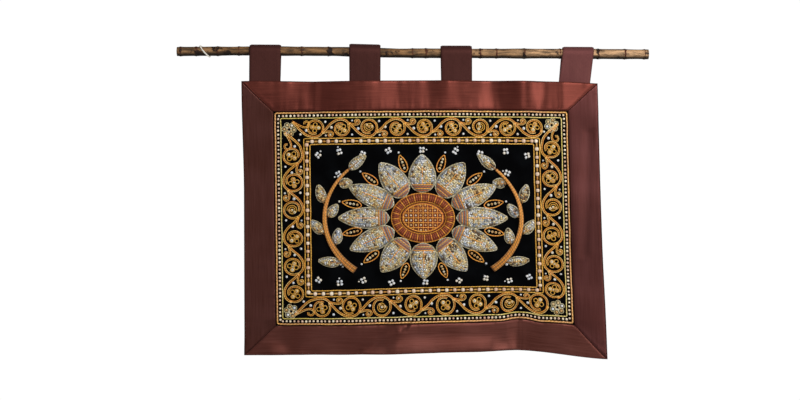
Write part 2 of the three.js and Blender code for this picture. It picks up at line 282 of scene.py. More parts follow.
def layCord(work, path, thick, lay, closed=False, sides=cordMake["sides"], groove=cordMake["groove"]):
    # Two plies twisted round each other are a little oval, and the oval turns once in each length of lay.
    # The UV counts the turns along the cord and goes once round it, from its right-hand side.
    rows = len(path)
    ahead = np.gradient(path, axis=0)
    if closed:
        ahead[0] = ahead[-1] = path[1] - path[-2]
    ahead /= np.linalg.norm(ahead, axis=1)[:, None]
    across = np.cross(ahead, (0, 0, 1))
    across /= np.maximum(np.linalg.norm(across, axis=1), 1e-6)[:, None]
    lift = np.cross(across, ahead)
    length = np.linalg.norm(np.diff(path, axis=0), axis=1).sum()
    turns = np.linspace(0, max(1, round(length / lay)), rows)[:, None]
    around = np.linspace(0, 1, sides + 1)[None, :] + np.zeros((rows, 1))
    angle = 2 * math.pi * around
    reach = thick / 2 * (1 - groove * np.sin(angle - 2 * math.pi * turns) ** 2)
    if not closed:
        reach[[0, -1]] *= cordMake["tip"]
    places = path[:, None, :] + (reach * np.cos(angle))[:, :, None] * across[:, None, :]
    places = places + (reach * np.sin(angle))[:, :, None] * lift[:, None, :]
    twist = np.dstack([turns + np.zeros_like(around), around]).reshape(-1, 2)
    bm = bmesh.new()
    layer = bm.loops.layers.uv.new("twist")
    bmesh.ops.create_grid(bm, x_segments=sides, y_segments=rows - 1, size=0.5)
    bm.verts.index_update()
    for vert, place in zip(bm.verts, places.reshape(-1, 3)):
        vert.co = place
    for face in bm.faces:
        for loop in face.loops:
            loop[layer].uv = twist[loop.vert.index]
    bmesh.ops.remove_doubles(bm, verts=bm.verts, dist=0.01)
    if not closed:
        bmesh.ops.holes_fill(bm, edges=[e for e in bm.edges if e.is_boundary], sides=sides)
    bmesh.ops.recalc_face_normals(bm, faces=bm.faces)
    mesh = meshFrom("cord", bm)
    work.from_mesh(mesh)
    bpy.data.meshes.remove(mesh)


def couch(work, points, thick, lay=5, closed=False, **shape):
    layCord(work, smoothPath(points, closed), thick, lay, closed, **shape)


def scatter(name, shape, spots, material):
    # Copies one small shape to many spots and joins them. A spot says where the shape lies, which way it
    # faces, its turn about that, its size, and a shade from 0 to 1 that its material reads.
    bmesh.ops.recalc_face_normals(shape, faces=shape.faces)
    shape.verts.index_update()
    places = np.array([v.co[:] for v in shape.verts])
    rims = np.array([v.co.xy.length for v in shape.verts])
    faces = [[v.index for v in f.verts] for f in shape.faces]
    shape.free()
    joined, quilt, shades = [], [], []
    for n, spot in enumerate(spots):
        facing = unit(np.array(spot.get("facing", (0, 0, 1)), float))
        side = unit(np.cross((0, 1, 0.01), facing))  # level, as nothing faces straight up the cloth
        first = math.cos(spot["turn"]) * side + math.sin(spot["turn"]) * np.cross(facing, side)
        second = np.cross(facing, first)
        joined.append(places * spot["size"] @ np.array([first, second, facing]) + spot["at"])
        quilt += [[n * len(places) + i for i in face] for face in faces]
        shades.append(np.full(len(places), spot["shade"]))
    mesh = bpy.data.meshes.new(name)
    mesh.from_pydata(np.vstack(joined), [], quilt)
    for key, values in (("shade", np.concatenate(shades)), ("rim", np.tile(rims, len(spots)))):
        mesh.attributes.new(key, "FLOAT", "POINT").data.foreach_set("value", values)
    finishPiece(name, mesh, [material])


# Finishes

def linear(hexColour):
    channels = [int(hexColour[i:i + 2], 16) / 255 for i in (0, 2, 4)]
    return [c / 12.92 if c <= 0.04045 else ((c + 0.055) / 1.055) ** 2.4 for c in channels] + [1]


def addNode(owner, kind, inputs=None, out=0, **settings):
    # Returns one output, or the node itself where out is None. Strings are hex colours. A Map Range's inputs
    # 1 to 4 are its two ranges, and a Mix's inputs 0, 6 and 7 are its share and its two colours.
    made = owner.node_tree.nodes.new("ShaderNode" + kind)
    for key, value in settings.items():
        setattr(made, key, value)
    for key, value in (inputs or {}).items():
        if isinstance(value, bpy.types.NodeSocket):
            owner.node_tree.links.new(value, made.inputs[key])
        else:
            made.inputs[key].default_value = linear(value) if isinstance(value, str) else value
    return made if out is None else made.outputs[out]


def newMaterial(name):
    material = bpy.data.materials.new(name)
    material.use_nodes = True
    material.node_tree.nodes.clear()
    return material


def shade(material, inputs):
    shader = addNode(material, "BsdfPrincipled", inputs)
    addNode(material, "OutputMaterial", {"Surface": shader}, None)
    return material


def velvetFinish():
    # Cotton velvet, woven and cut: a short upright pile that swallows light. Its colour runs from black to
    # a faint cool tone in broad noise patches, a painted sheen for the bloom where the pile leans.
    velvet = {"pileMm": 0.9, "reliefMm": 0.6, "bloomPatchMm": 38, "black": "020203", "paintedBloom": "060709"}
    material = newMaterial("cottonVelvet")
    flat = addNode(material, "UVMap", uv_map="flat")
    pile = addNode(material, "TexNoise", {"Vector": flat, "Scale": 1000 / velvet["pileMm"], "Detail": 2})
    bloomPatches = addNode(material, "TexNoise", {"Vector": flat, "Scale": 1000 / velvet["bloomPatchMm"]})
    # painted sheen: lean picks where the colour runs from black to the cool bloom tone
    lean = addNode(material, "MapRange", {0: bloomPatches, 1: 0.42, 2: 0.66})
    colour = addNode(material, "Mix", {0: lean, 6: velvet["black"], 7: velvet["paintedBloom"]}, 2, data_type="RGBA")
    bump = addNode(material, "Bump", {
        "Height": pile, "Strength": 0.5, "Distance": velvet["reliefMm"] / 1000})
    return shade(material, {
        "Base Color": colour, "Roughness": 0.95, "Specular IOR Level": 0.04, "Sheen Weight": 0.012,
        "Sheen Roughness": 0.4, "Normal": bump})


def backingFinish():
    # Plain-woven cotton sheeting behind the velvet: matt, with a visible square weave.
    backing = {"threadMm": 1.1, "slubMm": 11.11, "reliefMm": 0.3, "dark": "2a211f", "light": "3d322e"}
    material = newMaterial("cottonSheeting")
    flat = addNode(material, "UVMap", uv_map="flat")
    threads = {"Vector": flat, "Scale": 1000 / backing["threadMm"] / 20, "Distortion": 0.6, "Detail Scale": 3}
    warp, weft = [addNode(material, "TexWave", threads, 1, bands_direction=axis) for axis in "XY"]
    weave = addNode(material, "Math", {0: warp, 1: weft}, operation="MULTIPLY")
    slub = addNode(material, "TexNoise", {"Vector": flat, "Scale": 1000 / backing["slubMm"], "Detail": 4})
    tone = addNode(material, "Math", {0: weave, 1: slub}, operation="MULTIPLY")
    colour = addNode(material, "Mix", {0: tone, 6: backing["dark"], 7: backing["light"]}, 2, data_type="RGBA")
    bump = addNode(material, "Bump", {
        "Height": weave, "Strength": 0.5, "Distance": backing["reliefMm"] / 1000})
    return shade(material, {
        "Base Color": colour, "Roughness": 0.92, "Specular IOR Level": 0.2, "Normal": bump})


def satinFinish(name, grain, tones, metallic=0.6, roughness=(0.36, 0.44), anisotropic=0.8, paintedSheen=None):
    # Woven satin: long floating threads that lie one way, so it is glossy across them, with fine streaks
    # along them where a thread is thicker. grain is the direction that the threads run in. paintedSheen
    # lists shares of the cloth's height, from its bottom hem, and how bright its colour is painted there:
    # a painted sheen for the light that the cloth catches.
    satin = {"threadMm": 1.6, "streakMm": 60, "poolMm": 70, "reliefMm": 0.4, "gloss": "e08a72"}
    material = newMaterial(name)
    flat = addNode(material, "UVMap", uv_map="flat")
    fine, long = 1000 / satin["threadMm"], 1000 / satin["streakMm"]
    squeeze = (long, fine, 1) if grain == "across" else (fine, long, 1)
    stretched = addNode(material, "Mapping", {0: flat, 3: squeeze})
    streaks = addNode(material, "TexNoise", {"Vector": stretched, "Scale": 1, "Detail": 3})
    pools = addNode(material, "TexNoise", {"Vector": flat, "Scale": 1000 / satin["poolMm"], "Detail": 1})
    both = addNode(material, "Math", {0: streaks, 1: pools}, operation="ADD")
    even = addNode(material, "MapRange", {0: both, 1: 0.7, 2: 1.3})
    colour = addNode(material, "Mix", {0: even, 6: tones[0], 7: tones[1]}, 2, data_type="RGBA")
    if paintedSheen:
        colour = paintSheen(material, flat, colour, paintedSheen)
    rough = addNode(material, "MapRange", {0: streaks, 1: 0.3, 2: 0.7, 3: roughness[0], 4: roughness[1]})
    bump = addNode(material, "Bump", {
        "Height": streaks, "Strength": 0.1, "Distance": satin["reliefMm"] / 1000})
    tangent = addNode(material, "Tangent", direction_type="UV_MAP", uv_map="flat")
    return shade(material, {
        "Base Color": colour, "Metallic": metallic, "Roughness": rough, "Specular Tint": satin["gloss"],
        "Anisotropic": anisotropic, "Anisotropic Rotation": 0.25 if grain == "across" else 0.0,
        "Tangent": tangent, "Sheen Weight": 0.05, "Sheen Roughness": 0.35, "Normal": bump})


def paintSheen(material, flat, colour, paintedSheen):
    # painted sheen: the colour is multiplied brighter or darker up the cloth's height
    height = addNode(material, "SeparateXYZ", {0: flat}, 1)
    share = addNode(material, "MapRange", {0: height, 1: -halfHeight / 1000, 2: halfHeight / 1000})
    strength = addNode(material, "FloatCurve", {1: share}, None)
    points = strength.mapping.curves[0].points
    for number, (at, kept) in enumerate(paintedSheen):
        if number < len(points):
            points[number].location = (at, kept / 2)  # halved, as a curve ends at 1
        else:
            points.new(at, kept / 2)
    strength.mapping.update()
    doubled = addNode(material, "Math", {0: strength.outputs[0], 1: 2.0}, operation="MULTIPLY")
    tints = {0: 1.0, 6: colour, 7: doubled}
    return addNode(material, "Mix", tints, 2, data_type="RGBA", blend_type="MULTIPLY")


def cordFinish(name, groove, crowns, metallic=0.3, roughness=0.34, paintedGrooveLevel=0.3):
    # Metallised thread wound on a cotton core, two plies twisted, tarnished unevenly from one tone to the
    # other. Its colour holds painted light and shade: the crown colour on each ply's crown, the groove colour
    # in the groove between the plies and low on its sides, where shade falls.
    cord = {"tarnishMm": 18.18, "wearMm": 4.76, "reliefMm": 0.6}
    material = newMaterial(name)
    twist = addNode(material, "SeparateXYZ", {0: addNode(material, "UVMap", uv_map="twist")}, None)
    turns, around = twist.outputs[0], twist.outputs[1]
    lead = addNode(material, "Math", {0: around, 1: turns}, operation="SUBTRACT")
    ply = addNode(material, "Math", {0: lead, 1: 0.5}, operation="PINGPONG")
    # painted shade in the groove between the plies; ridge also drives the bump
    ridge = addNode(material, "MapRange", {0: ply, 1: 0, 2: 0.3, 3: paintedGrooveLevel, 4: 1},
                    interpolation_type="SMOOTHSTEP")
    place = addNode(material, "TexCoord", out="Object")
    tarnish = addNode(material, "TexNoise", {"Vector": place, "Scale": 1000 / cord["tarnishMm"], "Detail": 3})
    warm = addNode(material, "MapRange", {0: tarnish, 1: 0.4, 2: 0.6})
    crown = addNode(material, "Mix", {0: warm, 6: crowns[0], 7: crowns[1]}, 2, data_type="RGBA")
    angle = addNode(material, "Math", {0: around, 1: 2 * math.pi}, operation="MULTIPLY")
    upward = addNode(material, "Math", {0: angle}, operation="SINE")
    # painted shade: darker low on the cord's sides
    paintedSideShade = addNode(material, "MapRange", {0: upward, 1: -0.3, 2: 0.65, 3: 0.14, 4: 1})
    wear = addNode(material, "TexNoise", {"Vector": place, "Scale": 1000 / cord["wearMm"], "Detail": 2})
    worn = addNode(material, "MapRange", {0: wear, 1: 0.3, 2: 0.6, 3: 0.84, 4: 1})
    lit = addNode(material, "Math", {0: ridge, 1: paintedSideShade}, operation="MULTIPLY")
    lit = addNode(material, "Math", {0: lit, 1: worn}, operation="MULTIPLY")
    colour = addNode(material, "Mix", {0: lit, 6: groove, 7: crown}, 2, data_type="RGBA")
    bump = addNode(material, "Bump", {"Height": ridge, "Strength": 0.6, "Distance": cord["reliefMm"] / 1000})
    return shade(material, {
        "Base Color": colour, "Metallic": metallic, "Roughness": roughness, "Normal": bump})


def sequinFinish(name, tones, hole="1a1712", metallic=0.0, roughness=0.34):
    # Stamped film with a metal coat: glossy, each one a little different in tone, with a thread hole in
    # the middle.
    material = newMaterial(name)
    tone = addNode(material, "Attribute", out="Fac", attribute_name="shade")
    film = addNode(material, "ValToRGB", {0: tone}, None)
    ramp = film.color_ramp
    ramp.interpolation = "CONSTANT"
    for number, hexColour in enumerate(tones):
        stop = ramp.elements[0] if number == 0 else ramp.elements.new(number / len(tones))
        stop.color = linear(hexColour)
    ramp.elements.remove(ramp.elements[-1])
    rim = addNode(material, "Attribute", out="Fac", attribute_name="rim")
    outside = addNode(material, "MapRange", {0: rim, 1: 0.12, 2: 0.2})
    colour = addNode(material, "Mix", {0: outside, 6: hole, 7: film.outputs[0]}, 2, data_type="RGBA")
    return shade(material, {
        "Base Color": colour, "Metallic": metallic, "Roughness": roughness, "Specular IOR Level": 1.0})


def beadFinish(name, dull, bright, roughness=0.12):
    # Pressed glass with a lustre skin: smooth, pale, each bead a little different.
    material = newMaterial(name)
    tone = addNode(material, "Attribute", out="Fac", attribute_name="shade")
    colour = addNode(material, "Mix", {0: tone, 6: dull, 7: bright}, 2, data_type="RGBA")
    return shade(material, {
        "Base Color": colour, "Roughness": roughness, "Coat Weight": 0.5, "Coat Roughness": 0.08})


def feltFinish(name, dark, light, fibreMm=1.4):
    # Dyed cotton felt, or loose cotton yarn: matt and fibrous.
    felt = {"reliefMm": 0.4}
    material = newMaterial(name)
    place = addNode(material, "TexCoord", out="Object")
    fibre = addNode(material, "TexNoise", {"Vector": place, "Scale": 1000 / fibreMm, "Detail": 4})
    colour = addNode(material, "Mix", {0: fibre, 6: dark, 7: light}, 2, data_type="RGBA")
    bump = addNode(material, "Bump", {"Height": fibre, "Strength": 0.5, "Distance": felt["reliefMm"] / 1000})
    return shade(material, {"Base Color": colour, "Roughness": 0.85, "Sheen Weight": 0.1, "Normal": bump})


def caneFinish():
    # Smoked cane, rubbed smooth: long fibres, uneven brown streaks, broken reddish rings at its nodes, dark
    # burns, paler towards its right end, and painted shade along its top edge and underside.
    cane = {"fibreMm": 1.2, "streakMm": 5, "blotchMm": 9, "reliefMm": 0.4, "rimShade": "100a07", "burn": "261408",
            "ring": "552a16", "brown": "87613a", "tan": "e6b98c"}
    material = newMaterial("smokedCane")
    place = addNode(material, "TexCoord", out="Object")
    ring, pale, height, burn = [addNode(material, "Attribute", out="Fac", attribute_name=key)
                                for key in ("ring", "pale", "height", "burn")]
    along = addNode(material, "Mapping", {0: place, 3: (0.08, 1, 1)})
    fibre = addNode(material, "TexNoise", {"Vector": along, "Scale": 1000 / cane["fibreMm"], "Detail": 3})
    slanted = addNode(material, "Mapping", {0: place, 2: (0, 0.12, 0), 3: (0.2, 1, 1)})
    streak = addNode(material, "TexNoise", {
        "Vector": slanted, "Scale": 1000 / cane["streakMm"], "Detail": 3, "Roughness": 0.6})
    blotch = addNode(material, "TexNoise", {
        "Vector": place, "Scale": 1000 / cane["blotchMm"], "Detail": 4, "Roughness": 0.65})
    grain = addNode(material, "MapRange", {0: fibre, 1: 0.3, 2: 0.7, 3: 0.82, 4: 1.1})
    tone = addNode(material, "MapRange", {0: streak, 1: 0.36, 2: 0.64, 3: 0.3, 4: 1.25})
    both = addNode(material, "Math", {0: grain, 1: tone}, operation="MULTIPLY")
    skin = addNode(material, "Mix", {0: pale, 6: cane["brown"], 7: cane["tan"]}, 2, data_type="RGBA")
    skin = addNode(material, "Mix", {0: 1.0, 6: skin, 7: both}, 2, data_type="RGBA", blend_type="MULTIPLY")
    for strength, dye in ((ring, "ring"), (burn, "burn")):
        near = addNode(material, "Math", {0: strength, 1: 0.3}, operation="MULTIPLY")
        reached = addNode(material, "Math", {0: blotch, 1: near}, operation="ADD")
        share = addNode(material, "MapRange", {0: reached, 1: 0.6, 2: 0.74}, interpolation_type="SMOOTHSTEP")
        skin = addNode(material, "Mix", {0: share, 6: skin, 7: cane[dye]}, 2, data_type="RGBA")
    # painted shade: darker along the underside and along the top edge
    under = addNode(material, "MapRange", {0: height, 1: -0.15, 2: -0.8, 3: 0, 4: 0.95},
                    interpolation_type="SMOOTHSTEP")
    over = addNode(material, "MapRange", {0: height, 1: 0.66, 2: 0.95, 3: 0, 4: 0.88},
                   interpolation_type="SMOOTHSTEP")
    paintedRimShade = addNode(material, "Math", {0: under, 1: over}, operation="ADD")
    colour = addNode(material, "Mix", {0: paintedRimShade, 6: skin, 7: cane["rimShade"]}, 2, data_type="RGBA")
    rough = addNode(material, "MapRange", {0: blotch, 3: 0.5, 4: 0.75})
    bump = addNode(material, "Bump", {"Height": fibre, "Strength": 0.3, "Distance": cane["reliefMm"] / 1000})
    return shade(material, {
        "Base Color": colour, "Roughness": rough, "Specular IOR Level": 0.25, "Normal": bump})


def sawnFinish():
    # The sawn end of a cane: pale pith full of dark pores.
    pith = {"poreMm": 1.111, "pore": "4a3420", "pale": "b08a5c"}
    material = newMaterial("sawnCane")
    place = addNode(material, "TexCoord", out="Object")
    pores = addNode(material, "TexVoronoi", {"Vector": place, "Scale": 1000 / pith["poreMm"]})
    between = addNode(material, "MapRange", {0: pores, 1: 0.15, 2: 0.4})
    colour = addNode(material, "Mix", {0: between, 6: pith["pore"], 7: pith["pale"]}, 2, data_type="RGBA")
    return shade(material, {"Base Color": colour, "Roughness": 0.85})


tabSatin = {"metallic": 0.25, "roughness": (0.6, 0.68), "anisotropic": 0.4}  # worn duller by the rod
# how bright the right strip's colour is painted up its height: painted sheen, strongest at its top
rightPaintedSheen = [
    (0, 1.05), (0.2, 0.88), (0.4, 0.72), (0.52, 0.82), (0.62, 1.08), (0.8, 1.12), (0.9, 1.5), (1, 2)]

velvetPile = velvetFinish()
sheeting = backingFinish()
# Each border strip and tab has its own copy of one satin. The down-grain copies and the tabs have darker
# tones than the across-grain ones: painted shade for the weaker gloss they show.
satinAcross = satinFinish("satinAcross", "across", ("562822", "743b32"))
satinBottom = satinFinish("satinBottom", "across", ("582f28", "70433c"), anisotropic=0.6)
satinDown = satinFinish("satinDown", "down", ("44251f", "55332f"))
satinRight = satinFinish("satinRight", "down", ("462523", "583332"), paintedSheen=rightPaintedSheen)
satinTab = satinFinish("satinTab", "down", ("3f2422", "482a28"), **tabSatin)
# the right-hand tab: the tab satin with paler tones, a painted light for the stronger light on that tab; its
# threads still run down
satinTabPaintedLit = satinFinish("satinTabPaintedLit", "down", ("62393a", "724644"), **tabSatin)
# Each cord's first colour is the painted shade in its groove and low on its sides; the pair after it are the
# tones of its crowns.
yellowGold = cordFinish("yellowGoldCord", "904a08", ("ffc85c", "f4ba44"), paintedGrooveLevel=0.46)
orangeGold = cordFinish("orangeGoldCord", "a04006", ("ffac48", "ffb848"), paintedGrooveLevel=0.36)
creamGold = cordFinish("creamGoldCord", "a04606", ("ffd884", "fcc85c"), paintedGrooveLevel=0.36)
wornGold = cordFinish("wornGoldCord", "7a4214", ("f4b866", "e6ac70"), paintedGrooveLevel=0.5)
paleGold = cordFinish("paleGoldCord", "7c6018", ("e9d168", "f6e194"), paintedGrooveLevel=0.6)
agedSilver = cordFinish("agedSilverCord", "5e5030", ("e8dcb4", "d4c48e"))
silverCord = cordFinish("silverCord", "6a604a", ("f0e6c8", "dccb9c"), metallic=0.4)
rustCord = cordFinish("rustCord", "4a160c", ("b0562e", "c46a38"), metallic=0.2, roughness=0.5)
copperCord = cordFinish("copperCord", "5a300f", ("d39a58", "c0803e"))
silverSequin = sequinFinish("silverSequin", (
    "7a6858", "a8b0b8", "d4deea", "fafafa", "ffffff", "fff6d8", "ffe9ae", "ffdc92", "ecbc74", "7a5e40"),
    metallic=0.5, roughness=0.24)
goldSequin = sequinFinish("goldSequin", ("f4c47c", "fff0c4", "fedc9c", "fff4d8", "eab468"))
whiteSequin = sequinFinish("whiteSequin", ("ecf2fa", "ffffff", "fff4e0", "ffffff"), hole="c8c8c4")
lustreBead = beadFinish("lustreBead", "d4a68c", "fff4d6")
pearlBead = beadFinish("pearlBead", "dcae8c", "fff0d6", roughness=0.25)
amberBugle = beadFinish("amberBugle", "b87c30", "ecc070", roughness=0.2)
rustFelt = feltFinish("rustFelt", "5a1c10", "8c3c20")
silverLame = feltFinish("silverLame", "6f6f6b", "a5a49c", fibreMm=2.2)
copperFelt = feltFinish("copperFelt", "5e3718", "8a5a30")
caneSkin = caneFinish()
canePith = sawnFinish()
stringFinish = feltFinish("cottonString", "e4dccb", "fffdf4", fibreMm=0.8)
print("finishes ready")


# The satin border and the velvet panel

border = {
    "cellsInwards": 20,
    "gap": 0.02,  # at the seams
    "hemWide": 2.6, "hemDeep": 1.0,  # the hem's turned edge
    "seamWide": 1.8, "seamDeep": 0.6,  # where the strip dips to the velvet
    "ridgeWide": 6, "ridgeHigh": 0.6,  # how it swells beside that seam
    "mitreSlant": 0.7,  # from a distance along the strip to one square to the mitre
    "mitreWide": 1.6, "mitreDeep": 0.35,
    "mitreRidge": 4, "mitreRidgeWide": 3, "mitreRidgeHigh": 0.2,
    "pucker": 0.42, "puckerReach": 15,
    "ripple": 0.3, "rippleReach": 12, "rippleLengths": (17, 29, 47),
}
strips = table(
    "name node satin",
    ("borderTop", "border_top", satinAcross),
    ("borderRight", "border_right", satinRight),
    ("borderBottom", "border_bottom", satinBottom),
    ("borderLeft", "border_left", satinDown))


def borderStrip(number, strip):
    outer = [hemCorners[number], hemCorners[(number + 1) % 4]]
    inner = [panelCorners[number], panelCorners[(number + 1) % 4]]
    hem = np.linalg.norm(outer[1] - outer[0])
    along = unit(outer[1] - outer[0])
    depth = abs(np.cross(along, inner[0] - outer[0]))
    width = depth - border["gap"]

    def place(i, j):
        inwards = (1 - j) * width
        start = outer[0] + (inner[0] - outer[0]) * (inwards / depth)
        end = outer[1] + (inner[1] - outer[1]) * (inwards / depth)
        flat = start + (end - start) * i
        run = (flat - outer[0]) @ along
        fromSeam = width - inwards
        fromMitre = min(i, 1 - i) * np.linalg.norm(end - start) * border["mitreSlant"]
        relief = -border["hemDeep"] * max(0, 1 - inwards / border["hemWide"]) ** 2
        relief -= border["seamDeep"] * max(0, 1 - fromSeam / border["seamWide"]) ** 2
        onRidge = fromSeam / border["ridgeWide"]
        relief += border["ridgeHigh"] * onRidge * math.exp(1 - onRidge)
        relief -= border["mitreDeep"] * max(0, 1 - fromMitre / border["mitreWide"]) ** 2
        fromRidge = (fromMitre - border["mitreRidge"]) / border["mitreRidgeWide"]
        relief += border["mitreRidgeHigh"] * math.exp(-fromRidge ** 2)
        relief += border["pucker"] * waver(run, number) * math.exp(-fromSeam / border["puckerReach"])
        ripple = waver(run, number + 10, border["rippleLengths"])
        relief += border["ripple"] * ripple * math.exp(-inwards / border["rippleReach"])
        return (*flat, cloth["satin"] / 2 + relief)

    bm = clothGrid(round(hem / cloth["cell"]), border["cellsInwards"], place)
    piece = finishPiece(strip["name"], bm, [strip["satin"]], strip["node"])
    thicken(piece, cloth["satin"])


def velvetPanel():
    left, bottom = panelLeft + border["gap"], panelBottom + border["gap"]
    width = panelRight - panelLeft - 2 * border["gap"]
    height = panelTop - panelBottom - 2 * border["gap"]
    columns, rows = round(width / cloth["cell"]), round(height / cloth["cell"])
    bm = clothGrid(columns, rows, lambda i, j: (left + width * i, bottom + height * j, velvetFace))
    piece = finishPiece("velvetPanel", bm, [velvetPile, sheeting], "velvet_panel")
    thicken(piece, cloth["velvet"], backMaterial=1)


for number, strip in enumerate(strips):
    borderStrip(number, strip)
velvetPanel()
print("cloth hung")


# The rod, its string and the tabs

rod = {
    "left": -438, "right": 410, "radiusLeft": 8.1, "radiusRight": 9,
    "sides": 40, "step": 3.5, "endsBeyond": 405,
    "nodes": [-431, -403, -364, -326, -213, -165, -14, 10, 108, 137, 187, 251, 320, 368, 403],
    "besideNodes": (-4, -2.4, -1.2, -0.5, 0, 0.6, 1.3, 2.2, 3.6),  # more rings of the mesh
    "ridge": 0.9, "ridgeWide": 2.6,
    "scar": 0.55, "scarAt": 1.2, "scarWide": 0.8,  # the groove beside each node's ridge
    "dyeWide": 1.7,  # the reddish ring
    "waists": [(0.22, 23, 0), (0.15, 9.7, 2)],  # waves of its radius: height, length, start
    "crookAt": [-438, -300, -150, -40, 110, 260, 410],
    "crookUp": [3.6, 4.6, 3.6, 0.6, 0, -0.4, -1.6],
    "paleAt": [-438, -375, -352, -244, -136, -64, 8, 98, 161, 215, 323, 359, 410],
    "pale": [0.14, 0.14, 0.02, 0.06, 0.08, 0.0, 0.16, 0.28, 0.3, 0.52, 0.64, 0.84, 0.92],
}
# scorch marks, by how high they lie on the rod's face, from -1 to 1
burns = table(
    "at height long tall dark",
    (-431, 0.2, 4, 0.5, 0.7),
    (-409, 0.3, 4, 0.4, 0.8),
    (-396, -0.5, 14, 0.6, 1),
    (-366, 0.5, 8, 0.6, 0.9),
    (-346, -0.35, 7, 0.5, 1.1),
    (-325, 0.4, 12, 0.3, 0.5),
    (-212, 0, 6, 1.2, 0.55),
    (-163, 0.1, 5, 1.2, 1.2),
    (-134, -0.4, 10, 0.6, 0.9),
    (-58, -0.3, 16, 0.7, 0.7),
    (-10, -0.6, 12, 0.5, 0.6),
    (104, 0.2, 5, 0.9, 0.7),
    (186, -0.2, 5, 0.7, 0.6),
    (246, 0, 5, 1, 0.8),
    (318, 0.3, 4, 0.9, 0.9),
    (406, 0.2, 7, 0.5, 0.8))


def scorched(x, height):
    total = 0
    for mark in burns:
        far = ((x - mark["at"]) / mark["long"]) ** 2 + ((height - mark["height"]) / mark["tall"]) ** 2
        total += mark["dark"] * math.exp(-far)
    return total


def rodRadius(x):
    share = (x - rod["left"]) / (rod["right"] - rod["left"])
    return rod["radiusLeft"] + (rod["radiusRight"] - rod["radiusLeft"]) * share


def rodRise(x):
    return float(np.interp(x, rod["crookAt"], rod["crookUp"]))


def caneRod():
    stations = set(np.arange(rod["left"], rod["right"] + 1, rod["step"]).tolist()) | {rod["right"]}
    for node in rod["nodes"]:
        stations |= {node + step for step in rod["besideNodes"]}
    bm = bmesh.new()
    ring, pale, height, burn = [bm.verts.layers.float.new(key) for key in ("ring", "pale", "height", "burn")]
    profile = [bm.verts.new((rod["left"], 0, 0))]
    for x in sorted(stations):
        near = min(rod["nodes"], key=lambda node: abs(node - x))
        off = x - near
        swelling = rod["ridge"] * math.exp(-(off / rod["ridgeWide"]) ** 2)
        swelling -= rod["scar"] * math.exp(-((off - rod["scarAt"]) / rod["scarWide"]) ** 2)
        waist = sum(high * math.sin(x / length + start) for high, length, start in rod["waists"])
        vert = bm.verts.new((x, 0, rodRadius(x) + swelling + waist))
        vert[ring] = math.exp(-(off / rod["dyeWide"]) ** 2)
        uneven = 0.9 + 0.1 * math.sin(near * 3.1)  # from node to node
        vert[pale] = float(np.interp(x, rod["paleAt"], rod["pale"])) * uneven
        profile.append(vert)
    profile.append(bm.verts.new((rod["right"], 0, 0)))
    edges = [bm.edges.new(pair) for pair in zip(profile, profile[1:])]
    bmesh.ops.spin(bm, geom=profile + edges, axis=(1, 0, 0), cent=(0, 0, 0), angle=2 * math.pi,
                   steps=rod["sides"], use_merge=True)
    bmesh.ops.remove_doubles(bm, verts=bm.verts, dist=0.01)
    bmesh.ops.recalc_face_normals(bm, faces=bm.faces)
    for face in bm.faces:
        atEnd = max(abs(v.co.x) for v in face.verts) > rod["endsBeyond"]
        face.material_index = 1 if abs(face.normal.x) > 0.95 and atEnd else 0
    for vert in bm.verts:
        vert[height] = vert.co.z / rodRadius(vert.co.x)
        vert[burn] = scorched(vert.co.x, vert[height]) if vert.co.y < 0 else 0.3 * vert[ring]
        vert.co.z += rodRise(vert.co.x)
    finishPiece("caneRod", bm, [caneSkin, canePith], "rod", inMetres)


string = {
    "across": -388, "slant": 8, "bow": 2.2,
    "clearance": 0.35, "wound": 1.1,  # half of the two plies together
    "plies": 2, "thick": 2.1, "plyRadius": 0.55, "plyTurns": 12,
    "lay": 400, "groove": 0.1,  # each ply is all but smooth
}


def rodString():
    work = bmesh.new()
    for ply in range(string["plies"]):
        points = []
        for turn in np.linspace(0, 2 * math.pi, 121):
            x = string["across"] - string["slant"] * math.cos(turn) - string["bow"] * math.sin(turn)
            winding = string["plyTurns"] * turn + ply * math.pi
            reach = rodRadius(x) + string["clearance"] + string["wound"]
            reach += string["plyRadius"] * math.cos(winding)
            y, z = -reach * math.sin(turn), rodRise(x) + reach * math.cos(turn)
            points.append((x + string["plyRadius"] * math.sin(winding), y, z))
        layCord(work, np.array(points), string["thick"], string["lay"], closed=True, groove=string["groove"])
    finishPiece("rodString", work, [stringFinish], "rod_string", inMetres)


tabs = table(
    "centre lean slack satin",
    (-280, 1, 0.6, satinTab),
    (-100, 0, 3.4, satinTab),
    (65, -1, 2.6, satinTab),
    (277, 6.5, 0.9, satinTabPaintedLit))
tabCloth = {
    "width": 56, "thick": 2.8, "tail": 15, "columns": 18, "legRows": 14, "overRows": 18,
    "edgeWide": 2.6, "edgeDeep": 1.1,
    "ripple": 0.5, "rippleLengths": (19, 33, 52), "rippleShift": 31,  # the shift sets each tab's own waves
    "wrinkle": 0.25, "wrinkleLengths": (11, 18), "wrinkleShift": 60,
}


